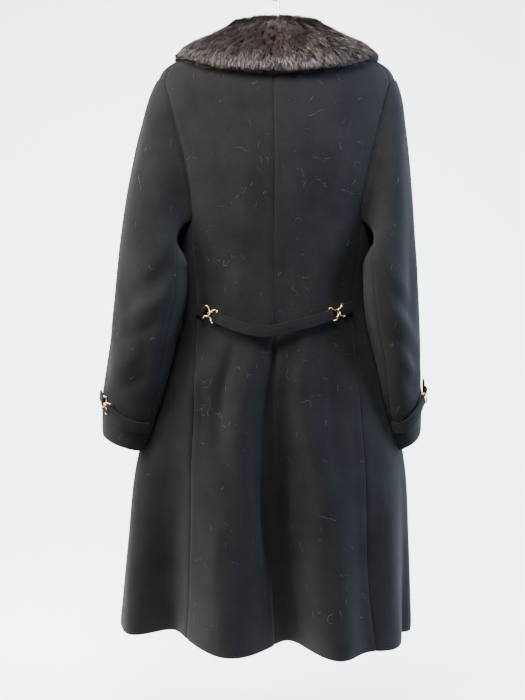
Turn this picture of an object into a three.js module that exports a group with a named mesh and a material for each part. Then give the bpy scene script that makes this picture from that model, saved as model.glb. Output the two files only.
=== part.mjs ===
// A long single-breasted wool coat with a wide fur collar, hanging on a plain hanger.
// Millimetres, +Z up.  -Y is the back of the coat, +X is the wearer's right.
// The origin is the inner top of the hanger's hook, so the coat lies below it.
import * as THREE from 'three';

// Driving dimensions
const WALL = 2.4;
const SEAM_GAP = 0.35;
const UNDERLAP_DROP = 3.4;
const SECTION_POWER = 2.2;
const HEM_Z = -1108;
const OVERLAP_ANGLE = 8.5;
const SLEEVE_CLEARANCE = 3.6;
const STRAP_THICKNESS = 3;
const LINK_ROD = 1.2;
const LINK_BEND = 4.6;
const LINK_TWIST = 0.64;
const LINK_OVERLAP = 3.3;
const BUTTON_RADIUS = 14;
const BUTTON_THICKNESS = 4.5;
const HOOK_WIRE = 1.7;
const HOOK_RADIUS = 20;
const HOOK_STEM_X = 4.2;
const HANGER_HALF_DEPTH = 7;
const HANGER_HEIGHT = 24;

const RAD = Math.PI / 180;

// Sections of the body, from the neckline outwards over the shoulders and down to the hem.
// half is the half width in X, back and front are the depths, and the three heights are
// those at the sides, at the centre back and at the centre front.
const BODY_RINGS = [
  { at: 0, name: 'neckline', sideZ: -116, backZ: -126, frontZ: -178, half: 80, back: 62, front: 68, centre: 0 },
  { at: 1, name: 'mid shoulder', sideZ: -131, backZ: -149, frontZ: -190, half: 125, back: 78, front: 82, centre: 0 },
  { at: 2, name: 'outer shoulder', sideZ: -149, backZ: -178, frontZ: -210, half: 168, back: 90, front: 95, centre: 0 },
  { at: 3, name: 'shoulder tip', sideZ: -178, backZ: -219, frontZ: -240, half: 199, back: 98, front: 103, centre: 0 },
  { at: 4, name: 'upper chest', sideZ: -262, backZ: -284, frontZ: -290, half: 203, back: 103, front: 109, centre: 0 },
  { at: 5, name: 'chest', sideZ: -350, backZ: -352, frontZ: -352, half: 195, back: 105, front: 112, centre: 0 },
  { at: 6, name: 'underarm', sideZ: -450, backZ: -450, frontZ: -450, half: 174, back: 102, front: 109, centre: -2 },
  { at: 7, name: 'waist', sideZ: -570, backZ: -570, frontZ: -570, half: 158, back: 97, front: 103, centre: -4 },
  { at: 8, name: 'high hip', sideZ: -690, backZ: -690, frontZ: -690, half: 192, back: 99, front: 107, centre: -6 },
  { at: 9, name: 'hip', sideZ: -820, backZ: -820, frontZ: -820, half: 226, back: 98, front: 110, centre: -10 },
  { at: 10, name: 'knee', sideZ: -960, backZ: -960, frontZ: -960, half: 237, back: 93, front: 112, centre: -13 },
  { at: 11, name: 'hem', sideZ: -1108, backZ: -1108, frontZ: -1108, half: 242.5, back: 86, front: 112, centre: -14.5 },
];

// Soft folds of the skirt.  Angles are in degrees from the centre back towards the wearer's
// right.  Each fold starts at topZ, grows down to its full height at the hem and drifts from
// topAngle to hemAngle.  A negative height is a hollow.
const SKIRT_FOLDS = [
  { name: 'left back hollow', hemAngle: -47, topAngle: -38, topZ: -600, height: -62, width: 17, growth: 1.5 },
  { name: 'left back crest', hemAngle: -12, topAngle: -16, topZ: -600, height: 32, width: 12, growth: 1.4 },
  { name: 'centre valley', hemAngle: 7, topAngle: 1.5, topZ: -560, height: -46, width: 7.5, growth: 1.1 },
  { name: 'right back crest', hemAngle: 23, topAngle: 20, topZ: -600, height: 46, width: 11, growth: 1.4 },
  { name: 'right side crest', hemAngle: 48, topAngle: 48, topZ: -640, height: 26, width: 13, growth: 1.5 },
  { name: 'right side hollow', hemAngle: 74, topAngle: 72, topZ: -700, height: -16, width: 10, growth: 1.6 },
  { name: 'right front crest', hemAngle: 112, topAngle: 108, topZ: -620, height: 24, width: 14, growth: 1.4 },
  { name: 'right front hollow', hemAngle: 141, topAngle: 140, topZ: -640, height: -22, width: 11, growth: 1.5 },
  { name: 'left front hollow', hemAngle: -139, topAngle: -141, topZ: -660, height: -18, width: 12, growth: 1.6 },
  { name: 'left front crest', hemAngle: -108, topAngle: -112, topZ: -640, height: 28, width: 14, growth: 1.4 },
];

// The armhole, as places on the body surface.  around runs round the sleeve in degrees, from
// the top over the back and the underarm to the front; angle and ring are body coordinates.
const ARMHOLE = [
  { around: 0, angle: 90, ring: 2.98 },
  { around: 14, angle: 82, ring: 3.0 },
  { around: 27, angle: 74, ring: 3.07 },
  { around: 40, angle: 65, ring: 3.2 },
  { around: 56, angle: 57.5, ring: 3.55 },
  { around: 72, angle: 51.5, ring: 4.05 },
  { around: 88, angle: 47.5, ring: 4.55 },
  { around: 104, angle: 45.5, ring: 5.05 },
  { around: 121, angle: 46, ring: 5.45 },
  { around: 138, angle: 48.5, ring: 5.8 },
  { around: 154, angle: 60, ring: 5.79 },
  { around: 170, angle: 74, ring: 5.75 },
  { around: 186, angle: 88, ring: 5.69 },
  { around: 202, angle: 102, ring: 5.61 },
  { around: 218, angle: 114, ring: 5.48 },
  { around: 235, angle: 124, ring: 5.25 },
  { around: 252, angle: 131, ring: 4.95 },
  { around: 270, angle: 134, ring: 4.6 },
  { around: 288, angle: 133, ring: 4.2 },
  { around: 304, angle: 128, ring: 3.8 },
  { around: 318, angle: 120, ring: 3.45 },
  { around: 332, angle: 110, ring: 3.18 },
  { around: 346, angle: 99, ring: 3.03 },
  { around: 360, angle: 90, ring: 2.98 },
];
const SHOULDER_TIP_AROUND = 40;
const BACK_SEAM_AROUND = 138;
const FRONT_SEAM_AROUND = 235;
const ARMHOLE_MIDDLE = { angle: 88, ring: 4.5 };

// The side-back seams from the armhole to the hem.
const SIDE_BACK_SEAM = [
  { ring: 5.8, left: 48.5, right: 48.5 },
  { ring: 6.2, left: 50.5, right: 50.5 },
  { ring: 7, left: 50.6, right: 51 },
  { ring: 7.66, left: 43.5, right: 45.5 },
  { ring: 8.5, left: 35.8, right: 39.8 },
  { ring: 9.35, left: 32.8, right: 38.2 },
  { ring: 10.3, left: 32.4, right: 37.8 },
  { ring: 11, left: 34, right: 40.4 },
];

// The centre-back seam.
const CENTRE_BACK_SEAM = [
  { ring: 0, angle: -2.6 },
  { ring: 3, angle: -1.3 },
  { ring: 7, angle: -0.7 },
  { ring: 9, angle: 0.8 },
  { ring: 11, angle: 2.4 },
];

// Sections of each sleeve below the armhole.  outer and inner are distances from X = 0,
// centreY and halfDepth give the depth, and lean moves the inner side towards the back.
const SLEEVE_START_Z = -500;
const SLEEVES = {
  left: {
    sign: -1,
    tilt: 15,
    cuffZ: -784,
    sections: [
      { down: 500, outer: 266, inner: 145, centreY: -38, halfDepth: 65, lean: 20 },
      { down: 548, outer: 270, inner: 146, centreY: -42, halfDepth: 62, lean: 20 },
      { down: 596, outer: 275, inner: 158, centreY: -41, halfDepth: 58, lean: 18 },
      { down: 650, outer: 282, inner: 170, centreY: -36, halfDepth: 55, lean: 15 },
      { down: 715, outer: 292, inner: 187, centreY: -22, halfDepth: 51, lean: 12 },
      { down: 784, outer: 295, inner: 206, centreY: -8, halfDepth: 47, lean: 8 },
    ],
    folds: [
      { around: 60, down: 560, height: -6, width: 26, length: 60 },
      { around: 105, down: 640, height: -5, width: 20, length: 45 },
      { around: 70, down: 668, height: 3, width: 22, length: 26 },
      { around: 130, down: 470, height: 5, width: 22, length: 90 },
    ],
  },
  right: {
    sign: 1,
    tilt: 17,
    cuffZ: -780,
    sections: [
      { down: 500, outer: 234, inner: 138, centreY: -32, halfDepth: 74, lean: 22 },
      { down: 548, outer: 236, inner: 140, centreY: -36, halfDepth: 73, lean: 22 },
      { down: 596, outer: 238, inner: 147, centreY: -34, halfDepth: 70, lean: 20 },
      { down: 650, outer: 241, inner: 160, centreY: -27, halfDepth: 67, lean: 16 },
      { down: 715, outer: 244, inner: 172, centreY: -13, halfDepth: 62, lean: 12 },
      { down: 780, outer: 245, inner: 187, centreY: 2, halfDepth: 57, lean: 8 },
    ],
    folds: [
      { around: 55, down: 540, height: -7, width: 18, length: 90 },
      { around: 100, down: 590, height: 5, width: 18, length: 80 },
      { around: 65, down: 660, height: -3, width: 16, length: 28 },
      { around: 128, down: 450, height: 5, width: 20, length: 80 },
    ],
  },
};

// The fur collar, at angles from the centre back.  edge is the ring on the body where its
// outer edge lies, topZ and topIn place the roll line, and thick is the pile on the fall.
const COLLAR = [
  { angle: 0, edge: 2.52, topZ: -87, topIn: 10, thick: 24 },
  { angle: 35, edge: 2.42, topZ: -86, topIn: 10, thick: 23 },
  { angle: 62, edge: 2.1, topZ: -82, topIn: 8, thick: 17 },
  { angle: 90, edge: 1.88, topZ: -80, topIn: 6, thick: 14 },
  { angle: 125, edge: 2.0, topZ: -100, topIn: 3, thick: 21 },
  { angle: 152, edge: 2.25, topZ: -128, topIn: 2, thick: 25 },
  { angle: 170, edge: 2.3, topZ: -152, topIn: 2, thick: 22 },
];
const COLLAR_END_ANGLE = 170;
const COLLAR_LIFT = { back: 1.2, front: 4.3 };

// Centre line of the sagging half belt, between the two rows of links.
const BELT_WIDTH = 17;
const BELT_LINE = [
  { x: -99, z: -580, standOff: 6.5 },
  { x: -78, z: -590, standOff: 8 },
  { x: -54, z: -599, standOff: 10 },
  { x: -30, z: -604, standOff: 12 },
  { x: -6, z: -602, standOff: 12 },
  { x: 20, z: -596, standOff: 11 },
  { x: 44, z: -591, standOff: 9 },
  { x: 66, z: -584, standOff: 8 },
  { x: 85, z: -576, standOff: 6.5 },
];

// Strap ends, as half thicknesses measured back from the tip round a link's bar.
const STRAP_END = [
  { fromTip: 0, half: 0 },
  { fromTip: 0.5, half: 1.72 },
  { fromTip: 1.7, half: 2.83 },
  { fromTip: 3.6, half: 3.17 },
  { fromTip: 6.2, half: 2.3 },
  { fromTip: 9, half: STRAP_THICKNESS / 2 },
];
const STRAP_BAR_FROM_TIP = 3.2;
const STRAP_BORE = 1.66;

// Where the belt tabs leave the side-back seams, and how deep each link of a pair is.
const BELT_ENDS = {
  left: { sign: -1, tabX: -127, tabZ: -566, depth: 13.5 },
  right: { sign: 1, tabX: 118, tabZ: -563, depth: 15 },
};

// The cuff straps run from the back sleeve seam to the outer side, then links and a tab.
const CUFF_STRAP_WIDTH = 18;
const CUFF_TRIM = {
  left: {
    depth: 12.5,
    tab: { around: 16, down: 713 },
    line: [
      { around: 134, down: 746 },
      { around: 112, down: 746 },
      { around: 90, down: 743 },
      { around: 70, down: 735 },
      { around: 55, down: 727 },
    ],
  },
  right: {
    depth: 12.5,
    tab: { around: 6, down: 694 },
    line: [
      { around: 134, down: 743 },
      { around: 110, down: 746 },
      { around: 88, down: 740 },
      { around: 64, down: 728 },
      { around: 42, down: 714 },
    ],
  },
};

const BUTTONS = [
  { name: 'button_1', down: 270 },
  { name: 'button_2', down: 410 },
  { name: 'button_3', down: 550 },
  { name: 'button_4', down: 690 },
];

const COLOURS = {
  wool: { color: 0x16171c, roughness: 0.92, metalness: 0 },
  fur: { color: 0x2e231d, roughness: 0.8, metalness: 0 },
  gold: { color: 0xc79a4b, roughness: 0.3, metalness: 1 },
  button: { color: 0x111114, roughness: 0.35, metalness: 0 },
  hanger: { color: 0x2a2a2c, roughness: 0.5, metalness: 0 },
  wire: { color: 0xb9bcc2, roughness: 0.3, metalness: 1 },
};

// General helpers

// The value of one column of a table at a position along another, rising column.
function columnAt(rows, along, column, position) {
  const last = rows.length - 1;
  const place = Math.min(Math.max(position, rows[0][along]), rows[last][along]);
  let k = 0;
  while (k < last - 1 && place > rows[k + 1][along]) k += 1;
  const slope = (i) => {
    const before = rows[Math.max(i - 1, 0)];
    const after = rows[Math.min(i + 1, last)];
    return (after[column] - before[column]) / (after[along] - before[along]);
  };
  const start = rows[k];
  const end = rows[k + 1];
  const span = end[along] - start[along];
  const t = (place - start[along]) / span;
  const t2 = t * t;
  const t3 = t2 * t;
  return (2 * t3 - 3 * t2 + 1) * start[column] + (t3 - 2 * t2 + t) * span * slope(k)
    + (3 * t2 - 2 * t3) * end[column] + (t3 - t2) * span * slope(k + 1);
}

function mix(from, to, share) {
  return from + (to - from) * share;
}

function smoothStep(from, to, value) {
  const t = Math.min(Math.max((value - from) / (to - from), 0), 1);
  return t * t * (3 - 2 * t);
}

function roundPower(value, power) {
  return Math.sign(value) * Math.abs(value) ** power;
}

// The point that lies a distance from another along a direction.
function along(point, direction, distance) {
  return point.clone().addScaledVector(direction, distance);
}

// The normal of a surface given as a function of two numbers.
function surfaceNormal(pointAt, first, second, firstStep, secondStep) {
  const a = pointAt(first + firstStep, second).sub(pointAt(first - firstStep, second));
  const b = pointAt(first, second + secondStep).sub(pointAt(first, second - secondStep));
  return a.cross(b).normalize();
}

// Turns every face over when the enclosed volume comes out negative.
function facesOutward(geometry) {
  const position = geometry.getAttribute('position');
  const index = geometry.getIndex().array;
  const corner = [new THREE.Vector3(), new THREE.Vector3(), new THREE.Vector3()];
  let volume = 0;
  for (let i = 0; i < index.length; i += 3) {
    corner.forEach((point, k) => point.fromBufferAttribute(position, index[i + k]));
    volume += corner[0].dot(corner[1].clone().cross(corner[2]));
  }
  if (volume < 0) {
    for (let i = 0; i < index.length; i += 3) {
      const swap = index[i];
      index[i] = index[i + 1];
      index[i + 1] = swap;
    }
  }
  geometry.computeVertexNormals();
  return geometry;
}

function meshFrom(points, faces) {
  const geometry = new THREE.BufferGeometry();
  const numbers = points.flatMap((point) => [point.x, point.y, point.z]);
  geometry.setAttribute('position', new THREE.Float32BufferAttribute(numbers, 3));
  geometry.setIndex(faces.flat());
  return facesOutward(geometry);
}

// The least that the two triangles of a cell face along a direction, split from its first corner.
function leastFacing([a, b, c, d], direction) {
  const facing = (first, second, third) => {
    const normal = second.clone().sub(first).cross(third.clone().sub(first)).normalize();
    return normal.dot(direction);
  };
  return Math.min(facing(a, b, c), facing(a, c, d));
}

// A wall between two grids of points with the same rows and columns, closed round its rim.
// Both faces split each cell of the grid along the diagonal that folds the outer face least.
function wallBetween(outer, inner) {
  const rows = outer.length;
  const columns = outer[0].length;
  const points = [...outer.flat(), ...inner.flat()];
  const outerAt = (row, column) => row * columns + column;
  const innerAt = (row, column) => rows * columns + row * columns + column;
  const faces = [];
  const quad = (a, b, c, d) => faces.push([a, b, c], [a, c, d]);
  for (let row = 0; row < rows - 1; row += 1) {
    for (let column = 0; column < columns - 1; column += 1) {
      const corners = [[row, column], [row + 1, column], [row + 1, column + 1], [row, column + 1]];
      const turned = [...corners.slice(1), corners[0]];
      const cell = corners.map(([i, k]) => outer[i][k]);
      const turnedCell = turned.map(([i, k]) => outer[i][k]);
      const out = outer[row][column].clone().sub(inner[row][column]).normalize();
      const side = Math.sign(leastFacing(cell, out) + leastFacing(turnedCell, out)) || 1;
      out.multiplyScalar(side);
      const [a, b, c, d] = leastFacing(turnedCell, out) > leastFacing(cell, out) ? turned : corners;
      quad(outerAt(...a), outerAt(...b), outerAt(...c), outerAt(...d));
      quad(innerAt(...a), innerAt(...d), innerAt(...c), innerAt(...b));
    }
  }
  for (let row = 0; row < rows - 1; row += 1) {
    quad(outerAt(row, 0), innerAt(row, 0), innerAt(row + 1, 0), outerAt(row + 1, 0));
    const edge = columns - 1;
    quad(outerAt(row, edge), outerAt(row + 1, edge), innerAt(row + 1, edge), innerAt(row, edge));
  }
  for (let column = 0; column < columns - 1; column += 1) {
    quad(outerAt(0, column), outerAt(0, column + 1), innerAt(0, column + 1), innerAt(0, column));
    const edge = rows - 1;
    quad(outerAt(edge, column), innerAt(edge, column), innerAt(edge, column + 1), outerAt(edge, column + 1));
  }
  return meshFrom(points, faces);
}

// A solid through closed sections, with a flat fan at each end unless it closes on itself.
function solidThrough(sections, closed) {
  const count = sections[0].length;
  const points = sections.flat();
  const faces = [];
  const steps = closed ? sections.length : sections.length - 1;
  for (let i = 0; i < steps; i += 1) {
    const next = (i + 1) % sections.length;
    for (let k = 0; k < count; k += 1) {
      const turn = (k + 1) % count;
      faces.push([i * count + k, next * count + k, next * count + turn]);
      faces.push([i * count + k, next * count + turn, i * count + turn]);
    }
  }
  if (!closed) {
    const first = 0;
    const last = (sections.length - 1) * count;
    for (let k = 1; k < count - 1; k += 1) {
      faces.push([first, first + k, first + k + 1]);
      faces.push([last, last + k + 1, last + k]);
    }
  }
  return meshFrom(points, faces);
}

// The body surface

function ringSizes(ring) {
  const sizes = {};
  for (const column of ['sideZ', 'backZ', 'frontZ', 'half', 'back', 'front', 'centre']) {
    sizes[column] = columnAt(BODY_RINGS, 'at', column, ring);
  }
  return sizes;
}

// How far the skirt's folds stand out at an angle and height.
function foldHeight(angle, z) {
  let height = 0;
  for (const fold of SKIRT_FOLDS) {
    const down = Math.min(Math.max((fold.topZ - z) / (fold.topZ - HEM_Z), 0), 1);
    const middle = mix(fold.topAngle, fold.hemAngle, down);
    const away = ((angle - middle + 540) % 360) - 180;
    height += fold.height * down ** fold.growth * Math.exp(-((away / fold.width) ** 2));
  }
  return height;
}

function bodyPoint(angle, ring) {
  const sizes = ringSizes(ring);
  const sine = Math.sin(angle * RAD);
  const cosine = Math.cos(angle * RAD);
  const depth = cosine > 0 ? sizes.back : sizes.front;
  const endZ = cosine > 0 ? sizes.backZ : sizes.frontZ;
  const x = sizes.half * roundPower(sine, 2 / SECTION_POWER);
  const y = -depth * roundPower(cosine, 2 / SECTION_POWER);
  const z = sizes.sideZ * sine * sine + endZ * cosine * cosine;
  const outward = new THREE.Vector3(x / sizes.half ** 2, y / depth ** 2, 0).normalize();
  const point = new THREE.Vector3(x + sizes.centre, y, z);
  return point.addScaledVector(outward, foldHeight(angle, z));
}

function bodyNormal(angle, ring) {
  const swap = (first, second) => bodyPoint(second, first);
  return surfaceNormal(swap, ring, angle, 0.02, 0.5);
}

// The ring at which the body surface reaches a height, at one angle.
function ringAtHeight(angle, z) {
  const sineSquare = Math.sin(angle * RAD) ** 2;
  const column = Math.cos(angle * RAD) > 0 ? 'backZ' : 'frontZ';
  let low = 0;
  let high = BODY_RINGS.length - 1;
  for (let step = 0; step < 24; step += 1) {
    const middle = (low + high) / 2;
    const height = columnAt(BODY_RINGS, 'at', 'sideZ', middle) * sineSquare
      + columnAt(BODY_RINGS, 'at', column, middle) * (1 - sineSquare);
    if (height > z) low = middle;
    else high = middle;
  }
  return (low + high) / 2;
}

// Body coordinates of the place on the surface that a point lies beside.
function bodyPlace(point) {
  let angle = Math.atan2(point.x / 2, -point.y) / RAD;
  let ring = 0;
  for (let step = 0; step < 4; step += 1) {
    ring = ringAtHeight(angle, point.z);
    const sizes = ringSizes(ring);
    const depth = point.y < 0 ? sizes.back : sizes.front;
    const sine = roundPower((point.x - sizes.centre) / sizes.half, SECTION_POWER / 2);
    const cosine = roundPower(-point.y / depth, SECTION_POWER / 2);
    angle = Math.atan2(sine, cosine) / RAD;
  }
  return { angle, ring };
}

// Moves a point out of the body section at its height, to a clear distance from it.
function keepClear(point, distance) {
  const { angle, ring } = bodyPlace(point);
  const sizes = ringSizes(ring);
  const margin = distance + Math.max(foldHeight(angle, point.z), 0);
  const x = point.x - sizes.centre;
  const depth = (point.y < 0 ? sizes.back : sizes.front) + margin;
  const extent = Math.abs(x / (sizes.half + margin)) ** SECTION_POWER
    + Math.abs(point.y / depth) ** SECTION_POWER;
  if (extent >= 1) return point;
  const scale = extent ** (-1 / SECTION_POWER);
  return new THREE.Vector3(sizes.centre + x * scale, point.y * scale, point.z);
}

// The place on the back of the body at an x and a height below the chest.
function backPlace(x, z) {
  const ring = ringAtHeight(0, z);
  const sizes = ringSizes(ring);
  const sine = roundPower((x - sizes.centre) / sizes.half, SECTION_POWER / 2);
  return { angle: Math.asin(sine) / RAD, ring };
}

// Body panels

function seamAngle(side, ring) {
  return columnAt(SIDE_BACK_SEAM, 'ring', side, ring);
}

// Degrees round the body that half a seam gap takes up at a ring.
function gapAngle(ring) {
  return SEAM_GAP / 2 / (columnAt(BODY_RINGS, 'at', 'half', ring) * RAD * 0.7);
}

// Wall of a panel whose rows run between two edges, each a pair of angle and ring.  bow
// below 1 makes a row take up its change of ring early, near its first edge.
function panelWall(rows, columns, bow, dropAt) {
  const outer = [];
  const inner = [];
  for (const row of rows) {
    const outerRow = [];
    const innerRow = [];
    for (let column = 0; column <= columns; column += 1) {
      const share = column / columns;
      const angle = mix(row.from.angle, row.to.angle, share);
      const ring = mix(row.from.ring, row.to.ring, share ** bow);
      const normal = bodyNormal(angle, ring);
      const point = along(bodyPoint(angle, ring), normal, -dropAt(angle));
      outerRow.push(point);
      innerRow.push(along(point, normal, -WALL));
    }
    outer.push(outerRow);
    inner.push(innerRow);
  }
  return wallBetween(outer, inner);
}

const SHOULDER_ROWS = 6;
const SKIRT_ROWS = 12;
const SHOULDER_SEAM_NECK_ANGLE = 62;
const tipRow = ARMHOLE.find((row) => row.around === SHOULDER_TIP_AROUND);
const junctionRow = ARMHOLE.find((row) => row.around === BACK_SEAM_AROUND);

function shoulderSeamAngle(ring) {
  return mix(SHOULDER_SEAM_NECK_ANGLE, tipRow.angle, ring / tipRow.ring);
}

function skirtRings() {
  const rings = [];
  for (let row = 1; row <= SKIRT_ROWS; row += 1) {
    rings.push(mix(junctionRow.ring, BODY_RINGS.length - 1, row / SKIRT_ROWS));
  }
  return rings;
}

function backPanel(side) {
  const sign = SLEEVES[side].sign;
  const outerEdge = [];
  for (let row = 0; row < SHOULDER_ROWS; row += 1) {
    const ring = (tipRow.ring * row) / SHOULDER_ROWS;
    outerEdge.push({ angle: shoulderSeamAngle(ring) - gapAngle(ring), ring });
  }
  const backArmhole = (row) => row.around >= SHOULDER_TIP_AROUND && row.around <= BACK_SEAM_AROUND;
  for (const row of ARMHOLE.filter(backArmhole)) {
    const atCorner = row === tipRow || row === junctionRow;
    outerEdge.push({ angle: row.angle - (atCorner ? gapAngle(row.ring) : 0), ring: row.ring });
  }
  for (const ring of skirtRings()) {
    outerEdge.push({ angle: seamAngle(side, ring) - gapAngle(ring), ring });
  }
  const rows = outerEdge.map((edge) => {
    const centre = columnAt(CENTRE_BACK_SEAM, 'ring', 'angle', edge.ring) + sign * gapAngle(edge.ring);
    return { from: { angle: centre, ring: edge.ring }, to: { angle: sign * edge.angle, ring: edge.ring } };
  });
  return panelWall(rows, 13, 1, () => 0);
}

const FRONT_ROW_RINGS = { shoulder: 2.3, underarm: 6.9, growth: 1.2 };
const UNDERLAP_BLEND = { from: 148, to: 168 };

function frontPanel(side) {
  const sign = SLEEVES[side].sign;
  const edge = [];
  for (let row = 0; row < SHOULDER_ROWS; row += 1) {
    const ring = (tipRow.ring * row) / SHOULDER_ROWS;
    const frontRing = (FRONT_ROW_RINGS.shoulder * row) / SHOULDER_ROWS;
    edge.push({ angle: shoulderSeamAngle(ring) + gapAngle(ring), ring, frontRing });
  }
  const overRidge = ARMHOLE.filter((row) => row.around <= SHOULDER_TIP_AROUND).reverse();
  const downFront = ARMHOLE.filter((row) => row.around >= BACK_SEAM_AROUND && row.around < 360).reverse();
  const armhole = [...overRidge, ...downFront];
  armhole.forEach((row, k) => {
    const atCorner = row === tipRow || row === junctionRow;
    const share = (k / (armhole.length - 1)) ** FRONT_ROW_RINGS.growth;
    const frontRing = mix(FRONT_ROW_RINGS.shoulder, FRONT_ROW_RINGS.underarm, share);
    edge.push({ angle: row.angle + (atCorner ? gapAngle(row.ring) : 0), ring: row.ring, frontRing });
  });
  skirtRings().forEach((ring, k) => {
    const frontRing = mix(FRONT_ROW_RINGS.underarm, BODY_RINGS.length - 1, (k + 1) / SKIRT_ROWS);
    edge.push({ angle: seamAngle(side, ring) + gapAngle(ring), ring, frontRing });
  });
  const centreFront = 180 + OVERLAP_ANGLE;
  const rows = edge.map((row) => ({
    from: { angle: sign * row.angle, ring: row.ring },
    to: { angle: sign * centreFront, ring: row.frontRing },
  }));
  const drop = (angle) => UNDERLAP_DROP * smoothStep(UNDERLAP_BLEND.from, UNDERLAP_BLEND.to, Math.abs(angle));
  return panelWall(rows, 14, 0.62, side === 'left' ? drop : () => 0);
}

// Sleeves

function sleeveSection(side, around, down) {
  const sleeve = SLEEVES[side];
  const value = (column) => columnAt(sleeve.sections, 'down', column, down);
  const middle = (value('outer') + value('inner')) / 2;
  const halfWidth = (value('outer') - value('inner')) / 2;
  const cosine = Math.cos(around * RAD);
  const sine = Math.sin(around * RAD);
  let swell = 0;
  for (const fold of sleeve.folds) {
    const away = ((around - fold.around + 540) % 360) - 180;
    const reach = (down - fold.down) / fold.length;
    swell += fold.height * Math.exp(-((away / fold.width) ** 2) - reach ** 2);
  }
  const x = middle + (halfWidth + swell) * cosine;
  const y = value('centreY') - (value('halfDepth') + swell) * sine + value('lean') * cosine;
  const tilt = sleeve.tilt * smoothStep(620, 790, down) * Math.cos((around - 150) * RAD);
  return new THREE.Vector3(sleeve.sign * x, y, -down - tilt);
}

// Under the arm the cap stands off the body sooner than it does over the shoulder.
const UNDER_CAP = { from: 100, to: 262, reach: 0.16, plainReach: 0.5 };

const UNDER_RIM = { blend: 20 };

// A place on the sleeve: place runs from 0 at the armhole to 1 at the first full section
// and on to 2 at the cuff.
function sleevePoint(side, around, place) {
  const sleeve = SLEEVES[side];
  const turn = ((around % 360) + 360) % 360;
  if (place >= 1) {
    const down = mix(-SLEEVE_START_Z, -sleeve.cuffZ, place - 1);
    return keepClear(sleeveSection(side, turn, down), SLEEVE_CLEARANCE);
  }
  const angle = columnAt(ARMHOLE, 'around', 'angle', turn);
  const ring = columnAt(ARMHOLE, 'around', 'ring', turn);
  const start = bodyPoint(sleeve.sign * angle, ring);
  const end = sleeveSection(side, turn, -SLEEVE_START_Z);
  const below = sleeveSection(side, turn, -SLEEVE_START_Z + 20);
  const up = end.clone().sub(below).normalize();
  const under = (1 - Math.cos(turn * RAD)) / 2;
  const side90 = Math.sin(turn * RAD) ** 2;
  const leave = new THREE.Vector3(sleeve.sign * (0.78 + 0.12 * under), -0.22 * Math.sin(turn * RAD),
    -0.62 + 0.2 * under).normalize();
  const first = along(start, leave, 26 + 22 * side90 - 4 * under);
  const second = along(end, up, 0.46 * (start.z - end.z));
  const curve = new THREE.CubicBezierCurve3(start, first, second, end);
  const point = curve.getPoint(place);
  const reach = turn > UNDER_CAP.from && turn < UNDER_CAP.to ? UNDER_CAP.reach : UNDER_CAP.plainReach;
  const clearance = mix(SEAM_GAP, SLEEVE_CLEARANCE, smoothStep(0, reach, place));
  return keepClear(point, clearance);
}

function sleeveNormal(side, around, place) {
  const sign = SLEEVES[side].sign;
  const swap = (first, second) => sleevePoint(side, second * sign, first);
  const late = Math.max(place, 0.04);
  return surfaceNormal(swap, late, around * sign, 0.03, 6).multiplyScalar(-1);
}

const CAP_PLACES = [0, 0.1, 0.22, 0.36, 0.52, 0.68, 0.84, 1];
const TUBE_STEPS = 7;

function sleevePlaces() {
  const places = [...CAP_PLACES];
  for (let step = 1; step <= TUBE_STEPS; step += 1) places.push(1 + step / TUBE_STEPS);
  return places;
}

// The direction on the body surface from an armhole point into the hole.
function intoArmhole(sign, angle, ring) {
  const edge = bodyPoint(sign * angle, ring);
  const nearer = bodyPoint(sign * mix(angle, ARMHOLE_MIDDLE.angle, 0.04), mix(ring, ARMHOLE_MIDDLE.ring, 0.04));
  return nearer.sub(edge).normalize();
}

// How far a place round the armhole lies under the arm, where the sleeve's rim stands on the
// body instead of carrying on from it.
function underArm(around) {
  const reach = UNDER_RIM.blend;
  return smoothStep(BACK_SEAM_AROUND - reach, BACK_SEAM_AROUND + reach, around)
    * smoothStep(reach, -reach, around - FRONT_SEAM_AROUND);
}

function sleevePiece(side, arounds) {
  const sign = SLEEVES[side].sign;
  const outer = [];
  const inner = [];
  for (const place of sleevePlaces()) {
    const outerRow = [];
    const innerRow = [];
    for (const { at, normalAt } of arounds) {
      const turn = ((at % 360) + 360) % 360;
      if (place === 0) {
        const angle = columnAt(ARMHOLE, 'around', 'angle', turn);
        const ring = columnAt(ARMHOLE, 'around', 'ring', turn);
        const shift = intoArmhole(sign, angle, ring);
        const point = along(bodyPoint(sign * angle, ring), shift, SEAM_GAP);
        const upright = underArm(((normalAt % 360) + 360) % 360);
        const outward = bodyNormal(sign * angle, ring).multiplyScalar(1 - upright);
        outward.addScaledVector(sleeveNormal(side, normalAt, place), upright).normalize();
        outerRow.push(point);
        innerRow.push(along(point, outward, -WALL));
      } else {
        const point = sleevePoint(side, at, place);
        outerRow.push(point);
        innerRow.push(along(point, sleeveNormal(side, normalAt, place), -WALL));
      }
    }
    outer.push(outerRow);
    inner.push(innerRow);
  }
  return wallBetween(outer, inner);
}

const SLEEVE_SEAM_ANGLE = 0.35;

function sleeveArounds(from, to) {
  const all = [];
  for (const row of ARMHOLE) {
    if (row.around < 360) all.push(row.around, row.around + 360);
  }
  const between = all.filter((around) => around > from && around < to).sort((a, b) => a - b);
  return [
    { at: from + SLEEVE_SEAM_ANGLE, normalAt: from },
    ...between.map((around) => ({ at: around, normalAt: around })),
    { at: to - SLEEVE_SEAM_ANGLE, normalAt: to },
  ];
}

// Straps, tabs and links

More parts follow.
